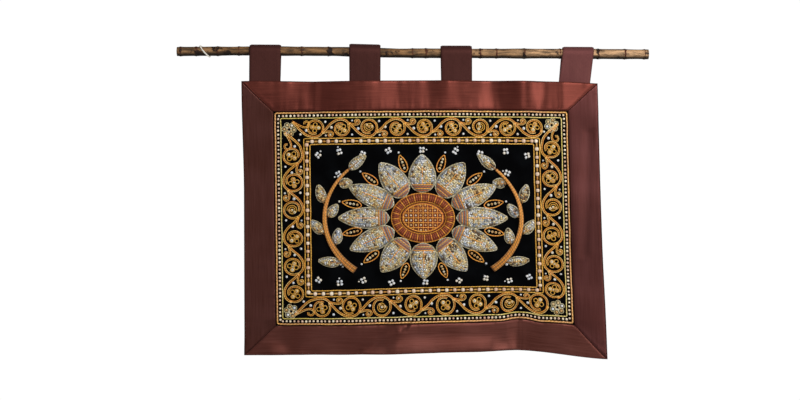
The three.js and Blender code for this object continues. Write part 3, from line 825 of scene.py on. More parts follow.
def tabLine(x, footX, slack):
    # the middle of a tab's cloth, from behind the hem up the front, over the rod and down the back,
    # as rows of y, z and the way out of it
    thick = tabCloth["thick"]
    behind = -cloth["satin"] / 2 - 2 * cloth["seamGap"] - thick / 2
    _, hemY, hemZ = hang(np.array([[footX, halfHeight, behind]]))[0] * 1000
    centre = np.array([0, rodRise(x)])
    radius = rodRadius(x) + slack + thick / 2
    legs, outs = [], []
    for shift, front in ((0, -1), (thick + cloth["seamGap"], 1)):
        foot = np.array([hemY + shift, hemZ])
        share = radius / np.linalg.norm(centre - foot)
        towards = unit(centre - foot)
        out = np.array([-towards[1], towards[0]]) * -front
        out = -towards * share + out * math.sqrt(1 - share * share)
        leg = [(foot[0], foot[1] - tabCloth["tail"] * drop, math.copysign(1, out[0]), 0) for drop in (1, 0.5)]
        for t in np.linspace(0, 1, tabCloth["legRows"], endpoint=False):
            leg.append((*(foot + (centre + out * radius - foot) * t), *out))
        legs.append(leg)
        outs.append(math.atan2(out[1], out[0]))
    over = []
    for angle in np.linspace(outs[0] % (2 * math.pi), outs[1], tabCloth["overRows"]):
        way = np.array([math.cos(angle), math.sin(angle)])
        over.append((*(centre + radius * way), *way))
    return legs[0] + over + legs[1][::-1]


def hungTab(number, tab):
    columns, width = tabCloth["columns"], tabCloth["width"]
    feet = [tab["centre"] + width * (column / columns - 0.5) for column in range(columns + 1)]
    loops = [tabLine(footX + tab["lean"], footX, tab["slack"]) for footX in feet]
    count = len(loops[0])
    top = max(row[1] for row in loops[0])

    def place(i, j):
        footX = feet[round(i * columns)]
        y, z, outY, outZ = loops[round(i * columns)][round(j * (count - 1))]
        climb = min(max((z + cloth["hemDrop"]) / (top + cloth["hemDrop"]), 0), 1)
        fromEdge = min(i, 1 - i) * width
        ripple = waver(footX + tabCloth["rippleShift"] * number, number, tabCloth["rippleLengths"])
        wrinkle = waver(z + tabCloth["wrinkleShift"] * i, number + 7, tabCloth["wrinkleLengths"])
        relief = -tabCloth["edgeDeep"] * max(0, 1 - fromEdge / tabCloth["edgeWide"]) ** 2
        relief += tabCloth["ripple"] * math.sin(math.pi * climb) * ripple
        relief += tabCloth["wrinkle"] * math.sin(math.pi * climb) * wrinkle
        out = tabCloth["thick"] / 2 + relief
        return (footX + tab["lean"] * climb, y + outY * out, z + outZ * out)

    bm = clothGrid(columns, count - 1, place, "xz")
    piece = finishPiece(f"tab{number}", bm, [tab["satin"]], f"tab_{number}", inMetres)
    thicken(piece, tabCloth["thick"])
    run = sum(math.dist(a[:2], b[:2]) for a, b in zip(loops[0], loops[0][1:]))


caneRod()
rodString()
for number, tab in enumerate(tabs, 1):
    hungTab(number, tab)
print("rod and tabs ready")


# Couched lines and bead rows round the panel

lines = table(
    "name inset besidePearls thick lay material",
    ("edgeCord", 2.6, None, 3.3, 6, wornGold),
    ("innerCord", 12.3, None, 2.2, 5, paleGold),
    ("pearlCordOuter", None, -5.3, 2.1, 5, yellowGold),
    ("pearlCordInner", None, 5.2, 2.2, 5, yellowGold))
lineWork = {
    "wander": 0.35, "wanderLengths": (37, 61, 95), "straight": 6,  # steps at the join
    "sunk": 0.34,  # as a share of the cord's thickness
    "cornerSteps": 4,
}
beadRow = {"inset": 7.7, "pitch": 6.9, "size": 4.5, "astray": 0.3, "askew": 0.2, "sunk": 0.44}
pearlRow = {
    "left": 58.6, "right": 57.7, "top": 54.2, "bottom": 56.5,  # how far in from the panel's edges it runs
    "pitch": 14.6, "pearl": 7.4, "pearlSunk": 0.42, "bugle": 6.8, "bugleSunk": 0.2,
}


def frameLine(inset=None, besidePearls=0, cornerRadius=2.5):
    # once round the panel, starting at the top right, at an inset from its edge or beside the pearls
    sides = ("left", "right", "bottom", "top")
    left, right, bottom, top = [pearlRow[side] + besidePearls if inset is None else inset for side in sides]
    left, right = panelLeft + left + cornerRadius, panelRight - right - cornerRadius
    bottom, top = panelBottom + bottom + cornerRadius, panelTop - top - cornerRadius
    points = []
    for x, y, start in ((right, top, 90), (right, bottom, 0), (left, bottom, -90), (left, top, -180)):
        for step in range(lineWork["cornerSteps"] + 1):
            angle = math.radians(start - 90 / lineWork["cornerSteps"] * step)
            points.append((x + cornerRadius * math.cos(angle), y + cornerRadius * math.sin(angle), 0))
    points.append(points[0])
    return np.array(points, float)


def couchedLine(number, line):
    path = evenSteps(frameLine(line["inset"], line["besidePearls"]))
    run = np.arange(len(path)) * cordMake["step"]
    wander = np.array([waver(r, number + 40, lineWork["wanderLengths"]) for r in run]) * lineWork["wander"]
    wander[:lineWork["straight"]] = wander[-lineWork["straight"]:] = 0
    away = path / np.maximum(abs(path), 1)
    path = path + away * wander[:, None] * [1, 1, 0]
    path[-1] = path[0]
    path[:, 2] = velvetFace + line["thick"] * lineWork["sunk"]
    work = bmesh.new()
    layCord(work, path, line["thick"], line["lay"], closed=True)
    finishPiece(line["name"], work, [line["material"]])


def beadShape(rings, sides):
    # a round bead with its thread hole, one unit across, lying on its side
    bm = bmesh.new()
    profile = []
    for k in range(rings + 1):
        angle = math.radians(-68 + 136 * k / rings)  # the hole takes the rest
        profile.append(bm.verts.new((0.5 * math.sin(angle), 0, 0.5 * math.cos(angle))))
    edges = [bm.edges.new(pair) for pair in zip(profile, profile[1:])]
    edges.append(bm.edges.new((profile[-1], profile[0])))
    bmesh.ops.spin(bm, geom=profile + edges, axis=(1, 0, 0), cent=(0, 0, 0), angle=2 * math.pi,
                   steps=sides, use_merge=True)
    bmesh.ops.remove_doubles(bm, verts=bm.verts, dist=0.001)
    return bm


def bugleShape():
    # a short tube with rounded ends, nearly one unit long
    bm = bmesh.new()
    bmesh.ops.create_cone(bm, cap_ends=True, segments=7, radius1=0.24, radius2=0.24, depth=0.92)
    rims = [e for e in bm.edges if abs(e.verts[0].co.z - e.verts[1].co.z) < 0.01]
    bmesh.ops.bevel(bm, geom=rims, offset=0.05, segments=1, profile=0.5, affect="EDGES", material=-1)
    bmesh.ops.rotate(bm, verts=bm.verts, cent=(0, 0, 0), matrix=Matrix.Rotation(math.pi / 2, 3, "Y"))
    return bm


def sequinShape(sides):
    # a cupped disc one unit across: a shallow cone with a flat underside
    bm = bmesh.new()
    bmesh.ops.create_cone(bm, cap_ends=True, cap_tris=True, segments=sides, radius1=0.5, radius2=0.16,
                          depth=0.1)
    return bm


def evenSpots(inset, pitch):
    step = 0.5
    path = evenSteps(frameLine(inset, cornerRadius=1), step)
    count = round(len(path) * step / pitch)
    for pick in np.linspace(0, len(path) - 1, count, endpoint=False).round().astype(int):
        ahead = path[(pick + 1) % len(path)] - path[pick]
        yield path[pick], math.atan2(ahead[1], ahead[0])


def beadRows():
    beads, pearls, bugles = [], [], []
    for place, turn in evenSpots(beadRow["inset"], beadRow["pitch"]):
        size = beadRow["size"] * random.uniform(0.86, 1.08)
        astray = [random.uniform(-beadRow["astray"], beadRow["astray"]) for _ in "xy"]
        turn += random.uniform(-beadRow["askew"], beadRow["askew"])
        at = place + [*astray, velvetFace + size * beadRow["sunk"]]
        beads.append({"at": at, "turn": turn, "size": size, "shade": random.random()})
    for number, (place, turn) in enumerate(evenSpots(None, pearlRow["pitch"] / 2)):
        spots, size, sunk = bugles, pearlRow["bugle"], pearlRow["bugleSunk"]
        if number % 2 == 0:
            spots, size, sunk = pearls, pearlRow["pearl"] * random.uniform(0.92, 1.05), pearlRow["pearlSunk"]
        at = place + [0, 0, velvetFace + size * sunk]
        spots.append({"at": at, "turn": turn, "size": size, "shade": random.random()})
    scatter("edgeBeads", beadShape(6, 9), beads, lustreBead)
    scatter("pearls", beadShape(8, 12), pearls, pearlBead)
    scatter("bugles", bugleShape(), bugles, amberBugle)


for number, line in enumerate(lines):
    couchedLine(number, line)
beadRows()
print("lines and beads ready")


# The scroll border. On each side a vine runs from one corner's rosette to the next in even waves. Each wave
# arches round a ring, which leaves the vine where it crosses the band, and a small hook curls away on the
# other side.

scroll = {
    "outerEdge": 12.3, "innerEdge": 5.3,  # in from the panel's edge, and out from the pearls
    "width": 39.3, "pitch": 49.5,  # of the band that the places below are drawn for
    "off": 0.2,  # how far inwards of the band's middle the vine's own middle lies
    "ring": 13.4, "ringOff": -1.6,
    "vineThick": 1.8, "ringThick": 1.6, "hookThick": 1.5, "loopThick": 1.6,
    "twinGap": 0.7, "lay": 4,
    "beadUp": 0.8,  # how high a white sequin lies over the velvet
}
# How far the first ring lies from its corner's rosette and the last one from the next rosette, and how far
# each was sewn off its even place.
scrollSides = table(
    "side rings first last off",
    ("top", 9, 50, 30.5, [-3, -4, -4, -2, -2, 0, 0, 0, -1]),
    ("right", 6, 43, 32, [0, 0, 0, 0, 0, 0]),
    ("bottom", 8, 56, 30.5, [-1, -4, -5, -4, -2, 0, 1, -2]),
    ("left", 6, 49, 31, [-1, -3, -3, -1, 0, 0]))
# The vine, its hook and the curl before the first ring run through these places: along from the ring, and
# inwards from the vine's middle. The crown of its arch is kept apart, as it isn't stretched with the band.
vineStart = [(-45, -14), (-32, 1), (-21, 11.5)]
vineRise = [(-29, -1.5), (-19.5, 9), (-9.5, 15.2)]
vineCrown = (-1, 16.6)
vineFall = [(7, 14.2), (12, 9.6)]
vineEnd = [(15, 4)]
hookPlaces = [
    (12, 9.6), (18, 7.6), (24.5, 6.4), (30, 7.6), (32.4, 11.6), (29.8, 15.2), (25.6, 15), (24.4, 11.8),
    (27, 10.4)]
curlPlaces = [
    (-45, -14), (-32, -6), (-22, -2.4), (-15.2, -4.6), (-13.8, -9.8), (-17.6, -13.4), (-22.4, -12),
    (-22.6, -8)]
# A ring's cord runs in arcs: the share of its radius where one begins, the turn there from the crossing, how
# far it sweeps, the share where it ends, and its steps.
ringArcs = [(1.06, 0.35, 0.9, 1, 4), (1, 1.6, 3.1, 0.97, 10), (0.93, 5, 0.7, 0.76, 3)]
# white sequins along from the ring, inwards, and their size
hookSequins = [(29.5, -1.5, 5.2), (18.5, -12.5, 4.4), (19, 14, 3.4)]
curlSequins = [(-19, 3.6, 5.4), (-30, 11, 4.4)]
hookEye = (27.2, 12.2, 3.6)  # the gold sequin that a hook curls round
ringLoops = {
    "count": 4, "from": 5.9, "radius": 3.5, "askew": 0.15,
    "sequin": 5.6, "sequinUp": 2, "tilt": 0.12, "middleSequin": 3.4, "middleUp": 1.2,
}
coil = {
    "radius": 9.2, "innerRadius": 2.2, "turns": 2.2,
    "sequin": 5, "sequinFrom": 5.6, "sequinUp": 2, "apart": 2.2, "tilt": 0.12,
    "middleSequin": 4.2, "middleUp": 1.6,
}
corner = {
    "count": 6, "from": 8.6, "radius": 4.2, "thick": 1.6, "up": 0.6,
    "sequin": 5.2, "sequinUp": 1, "innerSequin": 3.2, "innerFrom": 3.6, "innerTurn": 0.5, "innerUp": 1.2,
}
rosettePlaces = {
    "topLeft": (panelLeft + 27, panelTop - 32),
    "topRight": (panelRight - 30, panelTop - 25.5),
    "bottomLeft": (panelLeft + 27, panelBottom + 25.5),
    "bottomRight": (panelRight - 28.6, panelBottom + 26.6),
}
vineCords, paleCords, loopCords, cornerCords = [bmesh.new() for _ in range(4)]
whiteSpots, goldSpots = [], []


def bandFrame(side):
    # a band's start on the vine's middle, the way it runs, the way inwards, its length and its share of the
    # width that the places above are drawn for
    innerEdge = pearlRow[side] - scroll["innerEdge"]
    middle = (scroll["outerEdge"] + innerEdge) / 2 + scroll["off"]
    share = (innerEdge - scroll["outerEdge"]) / scroll["width"]
    first, last = {
        "top": ("topLeft", "topRight"), "bottom": ("bottomLeft", "bottomRight"),
        "left": ("topLeft", "bottomLeft"), "right": ("topRight", "bottomRight"),
    }[side]
    (firstX, firstY), (lastX, lastY) = rosettePlaces[first], rosettePlaces[last]
    return {
        "top": ((firstX, panelTop - middle), (1, 0), (0, -1), lastX - firstX, share),
        "bottom": ((firstX, panelBottom + middle), (1, 0), (0, 1), lastX - firstX, share),
        "left": ((panelLeft + middle, firstY), (0, -1), (1, 0), firstY - lastY, share),
        "right": ((panelRight - middle, firstY), (0, -1), (-1, 0), firstY - lastY, share),
    }[side]


def fromMiddle(centre, radius, angle):
    return (centre[0] + radius * math.cos(angle), centre[1] + radius * math.sin(angle))


def loopPath(centre, radius, start, sweep, endRadius, count):
    return [fromMiddle(centre, radius + (endRadius - radius) * (k / count), start + sweep * (k / count))
            for k in range(count + 1)]


def sequinSpot(at, size, tilt=0.25):
    facing = (random.uniform(-tilt, tilt), random.uniform(-tilt, tilt), 1)
    return {"at": np.array(at), "facing": facing, "turn": random.uniform(0, 6), "size": size,
            "shade": random.random()}


def sewTwins(points, thick):
    # two cords side by side, the paler one on the outside of the bend
    path = smoothPath(points)
    ahead = np.gradient(path, axis=0)
    ahead /= np.linalg.norm(ahead, axis=1)[:, None]
    aside = np.cross(ahead, (0, 0, 1)) * (thick + scroll["twinGap"]) / 2
    for work, way in ((vineCords, -1), (paleCords, 1)):
        layCord(work, path + aside * way, thick, scroll["lay"])


def scrollBand(band):
    start, along, inwards, length, share = bandFrame(band["side"])
    start, along, inwards = np.array(start), np.array(along), np.array(inwards)
    pitch = (length - band["first"] - band["last"]) / (band["rings"] - 1)
    stretch = pitch / scroll["pitch"]

    def toFlat(run, inward, forward):
        return (*(start + along * run + inwards * inward * share), velvetFace + forward)

    def sew(places, thick):
        sewTwins([toFlat(*place, thick * cordMake["sunk"]) for place in places], thick)

    def stretched(places, run, side=1):
        return [(run + a * stretch, b * side) for a, b in places]

    def strew(spots, run, side=1):
        for a, b, size in spots:
            at = toFlat(run + a * stretch, b * side, scroll["beadUp"])
            whiteSpots.append(sequinSpot(at, size * random.uniform(0.9, 1.1)))

    vine = stretched(vineStart, band["first"])
    for number in range(band["rings"]):
        side = 1 if number % 2 == 0 else -1
        run = band["first"] + pitch * number + band["off"][number]
        vine += stretched(vineRise if number else vineRise[-1:], run, side)
        vine.append((run + vineCrown[0], vineCrown[1] * side))
        vine += stretched(vineFall, run, side)
        crossing = vine[-1]
        centre = (run, scroll["ringOff"] * side)
        angle = math.atan2(crossing[1] - centre[1], crossing[0] - centre[0])
        wide = scroll["ring"] * (stretch + share) / 2 * random.uniform(0.95, 1.09)
        ring = [crossing]
        for begin, turn, sweep, end, count in ringArcs:
            ring += loopPath(centre, wide * begin, angle - side * turn, -side * sweep, wide * end, count)
        sew(ring, scroll["ringThick"])
        (spiral if number % 4 == 2 else rosette)(toFlat, centre, side)
        if number < band["rings"] - 1:
            sew(stretched(hookPlaces, run, side), scroll["hookThick"])
            strew(hookSequins, run, side)
            at = toFlat(run + hookEye[0] * stretch, hookEye[1] * side, 1)
            goldSpots.append(sequinSpot(at, hookEye[2]))
    sew(vine + stretched(vineEnd, run, side), scroll["vineThick"])
    sew(stretched(curlPlaces, band["first"]), scroll["hookThick"])
    strew(curlSequins, band["first"])


def rosette(toFlat, centre, side):
    turn = random.uniform(0, 2 * math.pi)
    up = scroll["loopThick"] * cordMake["sunk"]
    for k in range(ringLoops["count"]):
        angle = turn + k * 2 * math.pi / ringLoops["count"]
        angle += random.uniform(-ringLoops["askew"], ringLoops["askew"])
        middle = fromMiddle(centre, ringLoops["from"], angle)
        loop = loopPath(middle, ringLoops["radius"], angle, side * 2 * math.pi, ringLoops["radius"], 10)[:-1]
        points = [toFlat(*p, up) for p in loop]
        couch(loopCords, points, scroll["loopThick"], scroll["lay"], closed=True, sides=5)
        if k % 2 == 0:
            at = toFlat(*middle, ringLoops["sequinUp"])
            goldSpots.append(sequinSpot(at, ringLoops["sequin"], ringLoops["tilt"]))
    goldSpots.append(sequinSpot(toFlat(*centre, ringLoops["middleUp"]), ringLoops["middleSequin"]))


def spiral(toFlat, centre, side):
    # a cord that winds in to a sequin, with two more beside it
    start = random.uniform(0, 2 * math.pi)
    sweep = -side * 2 * math.pi * coil["turns"]
    path = loopPath(centre, coil["radius"], start, sweep, coil["innerRadius"], 30)
    up = scroll["loopThick"] * cordMake["sunk"]
    couch(loopCords, [toFlat(*p, up) for p in path], scroll["loopThick"], scroll["lay"], sides=5)
    goldSpots.append(sequinSpot(toFlat(*centre, coil["middleUp"]), coil["middleSequin"]))
    for angle in (start, start + coil["apart"]):
        at = toFlat(*fromMiddle(centre, coil["sequinFrom"], angle), coil["sequinUp"])
        goldSpots.append(sequinSpot(at, coil["sequin"], coil["tilt"]))


def cornerRosette(centre):
    turn = random.uniform(0, 1)
    for k in range(corner["count"]):
        angle = turn + k * 2 * math.pi / corner["count"]
        middle = fromMiddle(centre, corner["from"], angle)
        loop = loopPath(middle, corner["radius"], angle, 2 * math.pi, corner["radius"], 12)[:-1]
        points = [(*p, velvetFace + corner["up"]) for p in loop]
        couch(cornerCords, points, corner["thick"], scroll["lay"], closed=True, sides=5)
        spots = whiteSpots if k % 3 == 0 else goldSpots
        spots.append(sequinSpot((*middle, velvetFace + corner["sequinUp"]), corner["sequin"]))
        nearer = fromMiddle(centre, corner["innerFrom"], angle + corner["innerTurn"])
        goldSpots.append(sequinSpot((*nearer, velvetFace + corner["innerUp"]), corner["innerSequin"]))


for band in scrollSides:
    scrollBand(band)
for place in rosettePlaces.values():
    cornerRosette(place)
print("scrolls ready")


# The flower in the middle, between two leafy stems

flower = {
    "stretch": 1.35,  # how much wider than high
    "sewnAbove": 0.3,  # how far every pad lies over the velvet
    "rim": 1, "tip": 0.7,  # a pad's height at its edge, and half its width at its tips
    "outlineOff": 1.2, "outlineUp": 0.45,  # the cord round its foot
}
# the sequins that overlap on petals and leaves
scales = {
    "closer": 1.15,  # how many more a row has than fit side by side
    "reach": 0.93, "furthest": 0.94,  # where the outermost ones lie, as shares of half the width
    "aside": 0.04, "along": 0.2,  # how far each is off its place, across and along
    "tipped": 0.18, "askew": 0.26, "up": 0.7,  # towards the base, at random, and over the pad
}


def leafShape(t):
    t = min(max(t, 0), 1)
    return 2.49 * t**0.55 * (1 - t) ** 0.8  # 1 at its widest


def stepAlong(path, t):
    here, ahead = np.array(path(t)), np.array(path(t + 0.001))
    return here, unit(ahead - here)


def onPad(pad, t, v, above=0.0):
    # a flat place on a pad: t along it, v from -1 to 1 across it
    here, along = stepAlong(pad["path"], t)
    spot = here + np.array([along[1], -along[0]]) * pad["half"](t) * v
    height = flower["rim"] + pad["crown"](t) * math.sqrt(max(0, 1 - v * v))
    return np.array([*spot, velvetFace + flower["sewnAbove"] + height + above])


def padPiece(name, node, pad, material, columns=26, rows=12, closed=False):
    bm = bmesh.new()
    bmesh.ops.create_grid(bm, x_segments=columns, y_segments=rows, size=0.5)
    for vert in bm.verts:
        vert.co = onPad(pad, vert.co.x + 0.5, -math.sin(vert.co.y * math.pi))
    if closed:
        bmesh.ops.remove_doubles(bm, verts=bm.verts, dist=0.01)
    rim = [e for e in bm.edges if e.is_boundary]
    for made in bmesh.ops.extrude_edge_only(bm, edges=rim)["geom"]:
        if isinstance(made, bmesh.types.BMVert):
            made.co.z = velvetFace + flower["sewnAbove"]
    bottom = [e for e in bm.edges if e.is_boundary]
    if closed:
        bmesh.ops.bridge_loops(bm, edges=bottom)
    else:
        bmesh.ops.holes_fill(bm, edges=bottom)
    bmesh.ops.recalc_face_normals(bm, faces=bm.faces)
    finishPiece(name, bm, [material], node)


def leafyPad(path, length, halfWidth, crown):
    return {
        "path": path, "length": length,
        "half": lambda t: max(flower["tip"], halfWidth * leafShape(t)),
        "crown": lambda t: crown * leafShape(t),
    }


def arcPath(radius, start, sweep, mirror=1):
    def path(t):
        turn = start + sweep * t
        return mirror * flower["stretch"] * radius * math.cos(turn), radius * math.sin(turn)

    return path


def nacre(place, warmth):
    # which tone of the film a sequin has: patches of blue, white and gold that run into each other
    patches = math.sin(place[0] / 7.3 + warmth * 9) + math.sin(place[1] / 6.1 - place[0] / 17)
    patches += math.sin((place[0] + place[1]) / 11.7 + 2)
    return min(max(0.5 + warmth + 0.12 * patches + random.gauss(0, 0.18), 0), 0.999)


def strewSequins(pad, spots, first, last, spacing, size, warmth):
    # Rows of sequins overlap like scales, each tipped towards the pad's base. A piece's scales are given as
    # where along it they start and end, how far apart the rows are, and their size.
    rows = max(2, round(pad["length"] * (last - first) / spacing))
    for r in range(rows + 1):
        rowPlace = first + (last - first) * r / rows
        count = max(1, round(2 * pad["half"](rowPlace) * scales["closer"] / spacing))
        for k in range(count):
            v = 0 if count == 1 else ((k + 0.5 + 0.25 * (r % 2)) / count * 2 - 1) * scales["reach"]
            v += random.uniform(-scales["aside"], scales["aside"])
            v = max(-scales["furthest"], min(scales["furthest"], v))
            t = rowPlace + random.uniform(-scales["along"], scales["along"]) * spacing / pad["length"]
            t = min(max(t, 0.01), 0.99)
            here = onPad(pad, t, v)
            ahead, beside = onPad(pad, t + 0.02, v) - here, onPad(pad, t, v + 0.05) - here
            facing = unit(np.cross(beside, ahead))
            facing = facing * math.copysign(1, facing[2]) - scales["tipped"] * unit(ahead)
            facing = facing + [random.gauss(0, scales["askew"]), random.gauss(0, scales["askew"]), 0]
            spots.append({"at": here + facing * scales["up"], "facing": facing, "turn": random.uniform(0, 6),
                          "size": size * random.uniform(0.9, 1.1), "shade": nacre(here, warmth)})


def outline(pad, work, thick):
    # a cord round the foot of a pad
    off, height = flower["outlineOff"], velvetFace + thick * flower["outlineUp"]
    edge = [onPad(pad, t, 1 + off / pad["half"](t)) for t in np.linspace(0, 1, 15)]
    edge += [onPad(pad, t, -1 - off / pad["half"](t)) for t in np.linspace(1, 0, 15)]
    couch(work, [(x, y, height) for x, y, _ in edge], thick, closed=True)


def acrossPad(pad, work, t, thick):
    couch(work, [onPad(pad, t, v, thick * cordMake["sunk"]) for v in np.linspace(-0.96, 0.96, 9)], thick)


def alongPad(pad, work, v, first, last, thick, count=9, bow=0.0):
    run = np.linspace(first, last, count)
    couch(work, [onPad(pad, t, v * (1 - bow * t), thick * cordMake["sunk"]) for t in run], thick)


petal = {
    "count": 12, "inner": 45, "outer": 111, "slimmest": 17, "widening": 5.6, "crown": 8,
    "scales": (0.24, 0.97, 4.1, 5.4), "warmer": 0.04,
    "outline": 2.3,
    "barsAt": (0.05, 0.1, 0.15, 0.2), "bar": 2.2,
    "rib": 1.8, "sideRib": 1.5, "sideRibAt": 0.55,
    "sparksAt": (0.36, 0.5, 0.64, 0.78), "sparkAside": 0.28, "spark": 3.6, "sparkUp": 1.6,
}


def petalPad(number):
    angle = number * 2 * math.pi / petal["count"]
    widest = petal["slimmest"] + petal["widening"] * abs(math.sin(angle)) ** 3

    def path(t):
        radius = petal["inner"] + (petal["outer"] - petal["inner"]) * t
        return flower["stretch"] * radius * math.cos(angle), radius * math.sin(angle)

    return leafyPad(path, math.dist(path(0), path(1)), widest, petal["crown"])


def petalWork(number, silver, rust, gold, spots, sparks):
    pad = petalPad(number)
    padPiece(f"petal{number + 1:02d}", f"petal_{number + 1:02d}", pad, silverLame)
    strewSequins(pad, spots, *petal["scales"], petal["warmer"] * (number % 3))
    outline(pad, silver, petal["outline"])
    for k, t in enumerate(petal["barsAt"]):
        acrossPad(pad, rust if k % 2 == 0 else gold, t, petal["bar"])
    alongPad(pad, gold, 0, 0.22, 0.7, petal["rib"])
    for side in (-1, 1):
        alongPad(pad, silver, petal["sideRibAt"] * side, 0.3, 0.86, petal["sideRib"], bow=0.2)
    for t in petal["sparksAt"]:
        for side in (-1, 1):
            at = onPad(pad, t, petal["sparkAside"] * side, petal["sparkUp"])
            sparks.append(sequinSpot(at, petal["spark"], 0.35))


heart = {
    "halfWide": 38, "halfHigh": 26, "crown": 7,
    "pitch": 8.6, "uprights": 4, "levels": 2, "net": 1.7, "netLay": 4,
    "sequin": 3.4, "sequinUp": 1.0, "sequinsWithin": 0.72,
    "ring": 2.2,
}


def heartPad():
    def oval(t):
        return math.sqrt(max(0, 1 - (2 * t - 1) ** 2))

    return {
        "path": lambda t: (heart["halfWide"] * (2 * t - 1), 0),
        "half": lambda t: max(flower["tip"], heart["halfHigh"] * oval(t)),
        "crown": lambda t: heart["crown"] * oval(t),
    }


def heartWork(rust, gold, sparks):
    pad = heartPad()
    padPiece("flowerHeart", "flower_heart", pad, rustFelt, columns=28, rows=16)
    wide, high, pitch = heart["halfWide"], heart["halfHigh"], heart["pitch"]

    def onHeart(x, y, above):
        t = (x / wide + 1) / 2
        return onPad(pad, t, -y / (high * math.sqrt(max(1e-6, 1 - (2 * t - 1) ** 2))), above)

    def net(count, span, reach, above, steps, place):
        for k in range(-count, count + 1):
            half = reach * math.sqrt(max(0, 1 - (k * pitch / span) ** 2))
            if half > 3:
                points = [onHeart(*place(k * pitch, run), above) for run in np.linspace(-half, half, steps)]
                couch(gold, points, heart["net"], heart["netLay"])

    net(heart["uprights"], wide, high * 0.9, 0.6, 11, lambda k, run: (k, run))
    net(heart["levels"], high, wide * 0.92, 1.1, 15, lambda k, run: (run, k))
    for k in range(-4, 4):
        for m in range(-3, 3):
            x, y = (k + 0.5) * pitch, (m + 0.5) * pitch
            if (x / wide) ** 2 + (y / high) ** 2 < heart["sequinsWithin"]:
                sparks.append(sequinSpot(onHeart(x, y, heart["sequinUp"]), heart["sequin"]))
    for scale, work, above in ((0.985, rust, 0.8), (0.93, gold, 0.9)):
        turns = np.linspace(0, 2 * math.pi, 40, endpoint=False)
        points = [onHeart(wide * scale * math.cos(a), high * scale * math.sin(a), above) for a in turns]
        couch(work, points, heart["ring"], closed=True)


collar = {
    "radius": 36, "halfWidth": 6.2, "crown": 4.5,
    "cords": 72, "cord": 2.3, "cordUp": 0.6,
    "edge": 2.2, "edgeAt": 1.22, "edgeUp": 1,
}


def collarWork(rust, gold):
    pad = {"path": arcPath(collar["radius"], 0, 2 * math.pi),
           "half": lambda t: collar["halfWidth"], "crown": lambda t: collar["crown"]}
    padPiece("flowerCollar", "flower_collar", pad, rustFelt, columns=90, rows=8, closed=True)
    for k in range(collar["cords"]):
        t = (k + 0.5) / collar["cords"]
        points = [onPad(pad, t, v, collar["cordUp"]) for v in (-1, -0.7, -0.3, 0.1, 0.5, 0.8, 1)]
        couch(rust if k % 3 else gold, points, collar["cord"])
    for side in (-1, 1):
        foot = [onPad(pad, t, collar["edgeAt"] * side) for t in np.linspace(0, 1, 60, endpoint=False)]
        couch(gold, [(x, y, velvetFace + collar["edgeUp"]) for x, y, _ in foot], collar["edge"], closed=True)


# small looped leaves that show between the tips of the petals
sepal = {
    "inner": 84, "outer": 116, "half": 6.75, "shorterAside": 0.05,
    "cord": 2, "cordUp": 0.9,
    "seedsAt": (0.22, 0.4, 0.58, 0.76), "seed": 4.6, "sequin": 4, "sequinOff": 5, "sequinUp": 1,
}


def sepalWork(number, gold, sparks):
    angle = (number + 0.5) * 2 * math.pi / petal["count"]
    way = np.array([flower["stretch"] * math.cos(angle), math.sin(angle)])
    side = np.array([way[1], -way[0]]) / np.linalg.norm(way)
    inner = way * sepal["inner"]
    length = way * sepal["outer"] * (1 - sepal["shorterAside"] * abs(math.cos(angle))) - inner
    run = np.linspace(0, 1, 9)
    edge = [inner + length * t + side * sepal["half"] * leafShape(t) for t in run]
    edge += [inner + length * t - side * sepal["half"] * leafShape(t) for t in run[-2:0:-1]]
    couch(gold, [(*p, velvetFace + sepal["cordUp"]) for p in edge], sepal["cord"], closed=True)
    height = velvetFace + sepal["sequinUp"]
    for t in sepal["seedsAt"]:
        sparks.append(sequinSpot((*(inner + length * t), height), sepal["seed"]))
    beyond = inner + length + unit(way) * sepal["sequinOff"]
    whiteSpots.append(sequinSpot((*beyond, height), sepal["sequin"]))


stem = {
    "radius": 130, "from": -46, "to": 42, "rootHalf": 6.5, "tipHalf": 1.8, "crown": 4.5,
    "cordsAt": (-0.82, -0.41, 0, 0.41, 0.82), "cord": 2.2,
}
foliage = {
    "halfWidth": 7.4, "crown": 5, "stalk": 3.6, "tipStalk": 1.5,
    "scales": (0.08, 0.95, 3.6, 4.6), "warmer": 0.12,
    "outline": 1.9, "rib": 1.6,
}
leaves = table(
    "at side length lean",
    (0.13, 1, 36, 40),
    (0.27, -1, 27, 38),
    (0.4, 1, 29, 27),
    (0.54, -1, 26, 36),
    (0.66, 1, 31, 32),
    (0.86, -1, 22, 46),
    (1, 0, 36, 0))


def stemPad(mirror):
    start, sweep = math.radians(stem["from"]), math.radians(stem["to"] - stem["from"])
    return {
        "path": arcPath(stem["radius"], start, sweep, mirror),
        "half": lambda t: stem["rootHalf"] + (stem["tipHalf"] - stem["rootHalf"]) * max(t, 0) ** 0.7,
        "crown": lambda t: stem["crown"] * (1 - t / 2),
    }


def leafPad(leaf, mirror):
    pad = stemPad(mirror)
    here, along = stepAlong(pad["path"], leaf["at"])
    outwards = np.array([along[1], -along[0]]) * leaf["side"] * mirror
    start = here + outwards * (pad["half"](leaf["at"]) + foliage["stalk"])
    if leaf["side"] == 0:
        start = here + along * foliage["tipStalk"]  # the last leaf goes on from the stem's tip
    lean = math.radians(leaf["lean"])
    heading = along * math.cos(lean) + outwards * math.sin(lean)
    return leafyPad(lambda t: tuple(start + heading * leaf["length"] * t), leaf["length"],
                    foliage["halfWidth"], foliage["crown"])


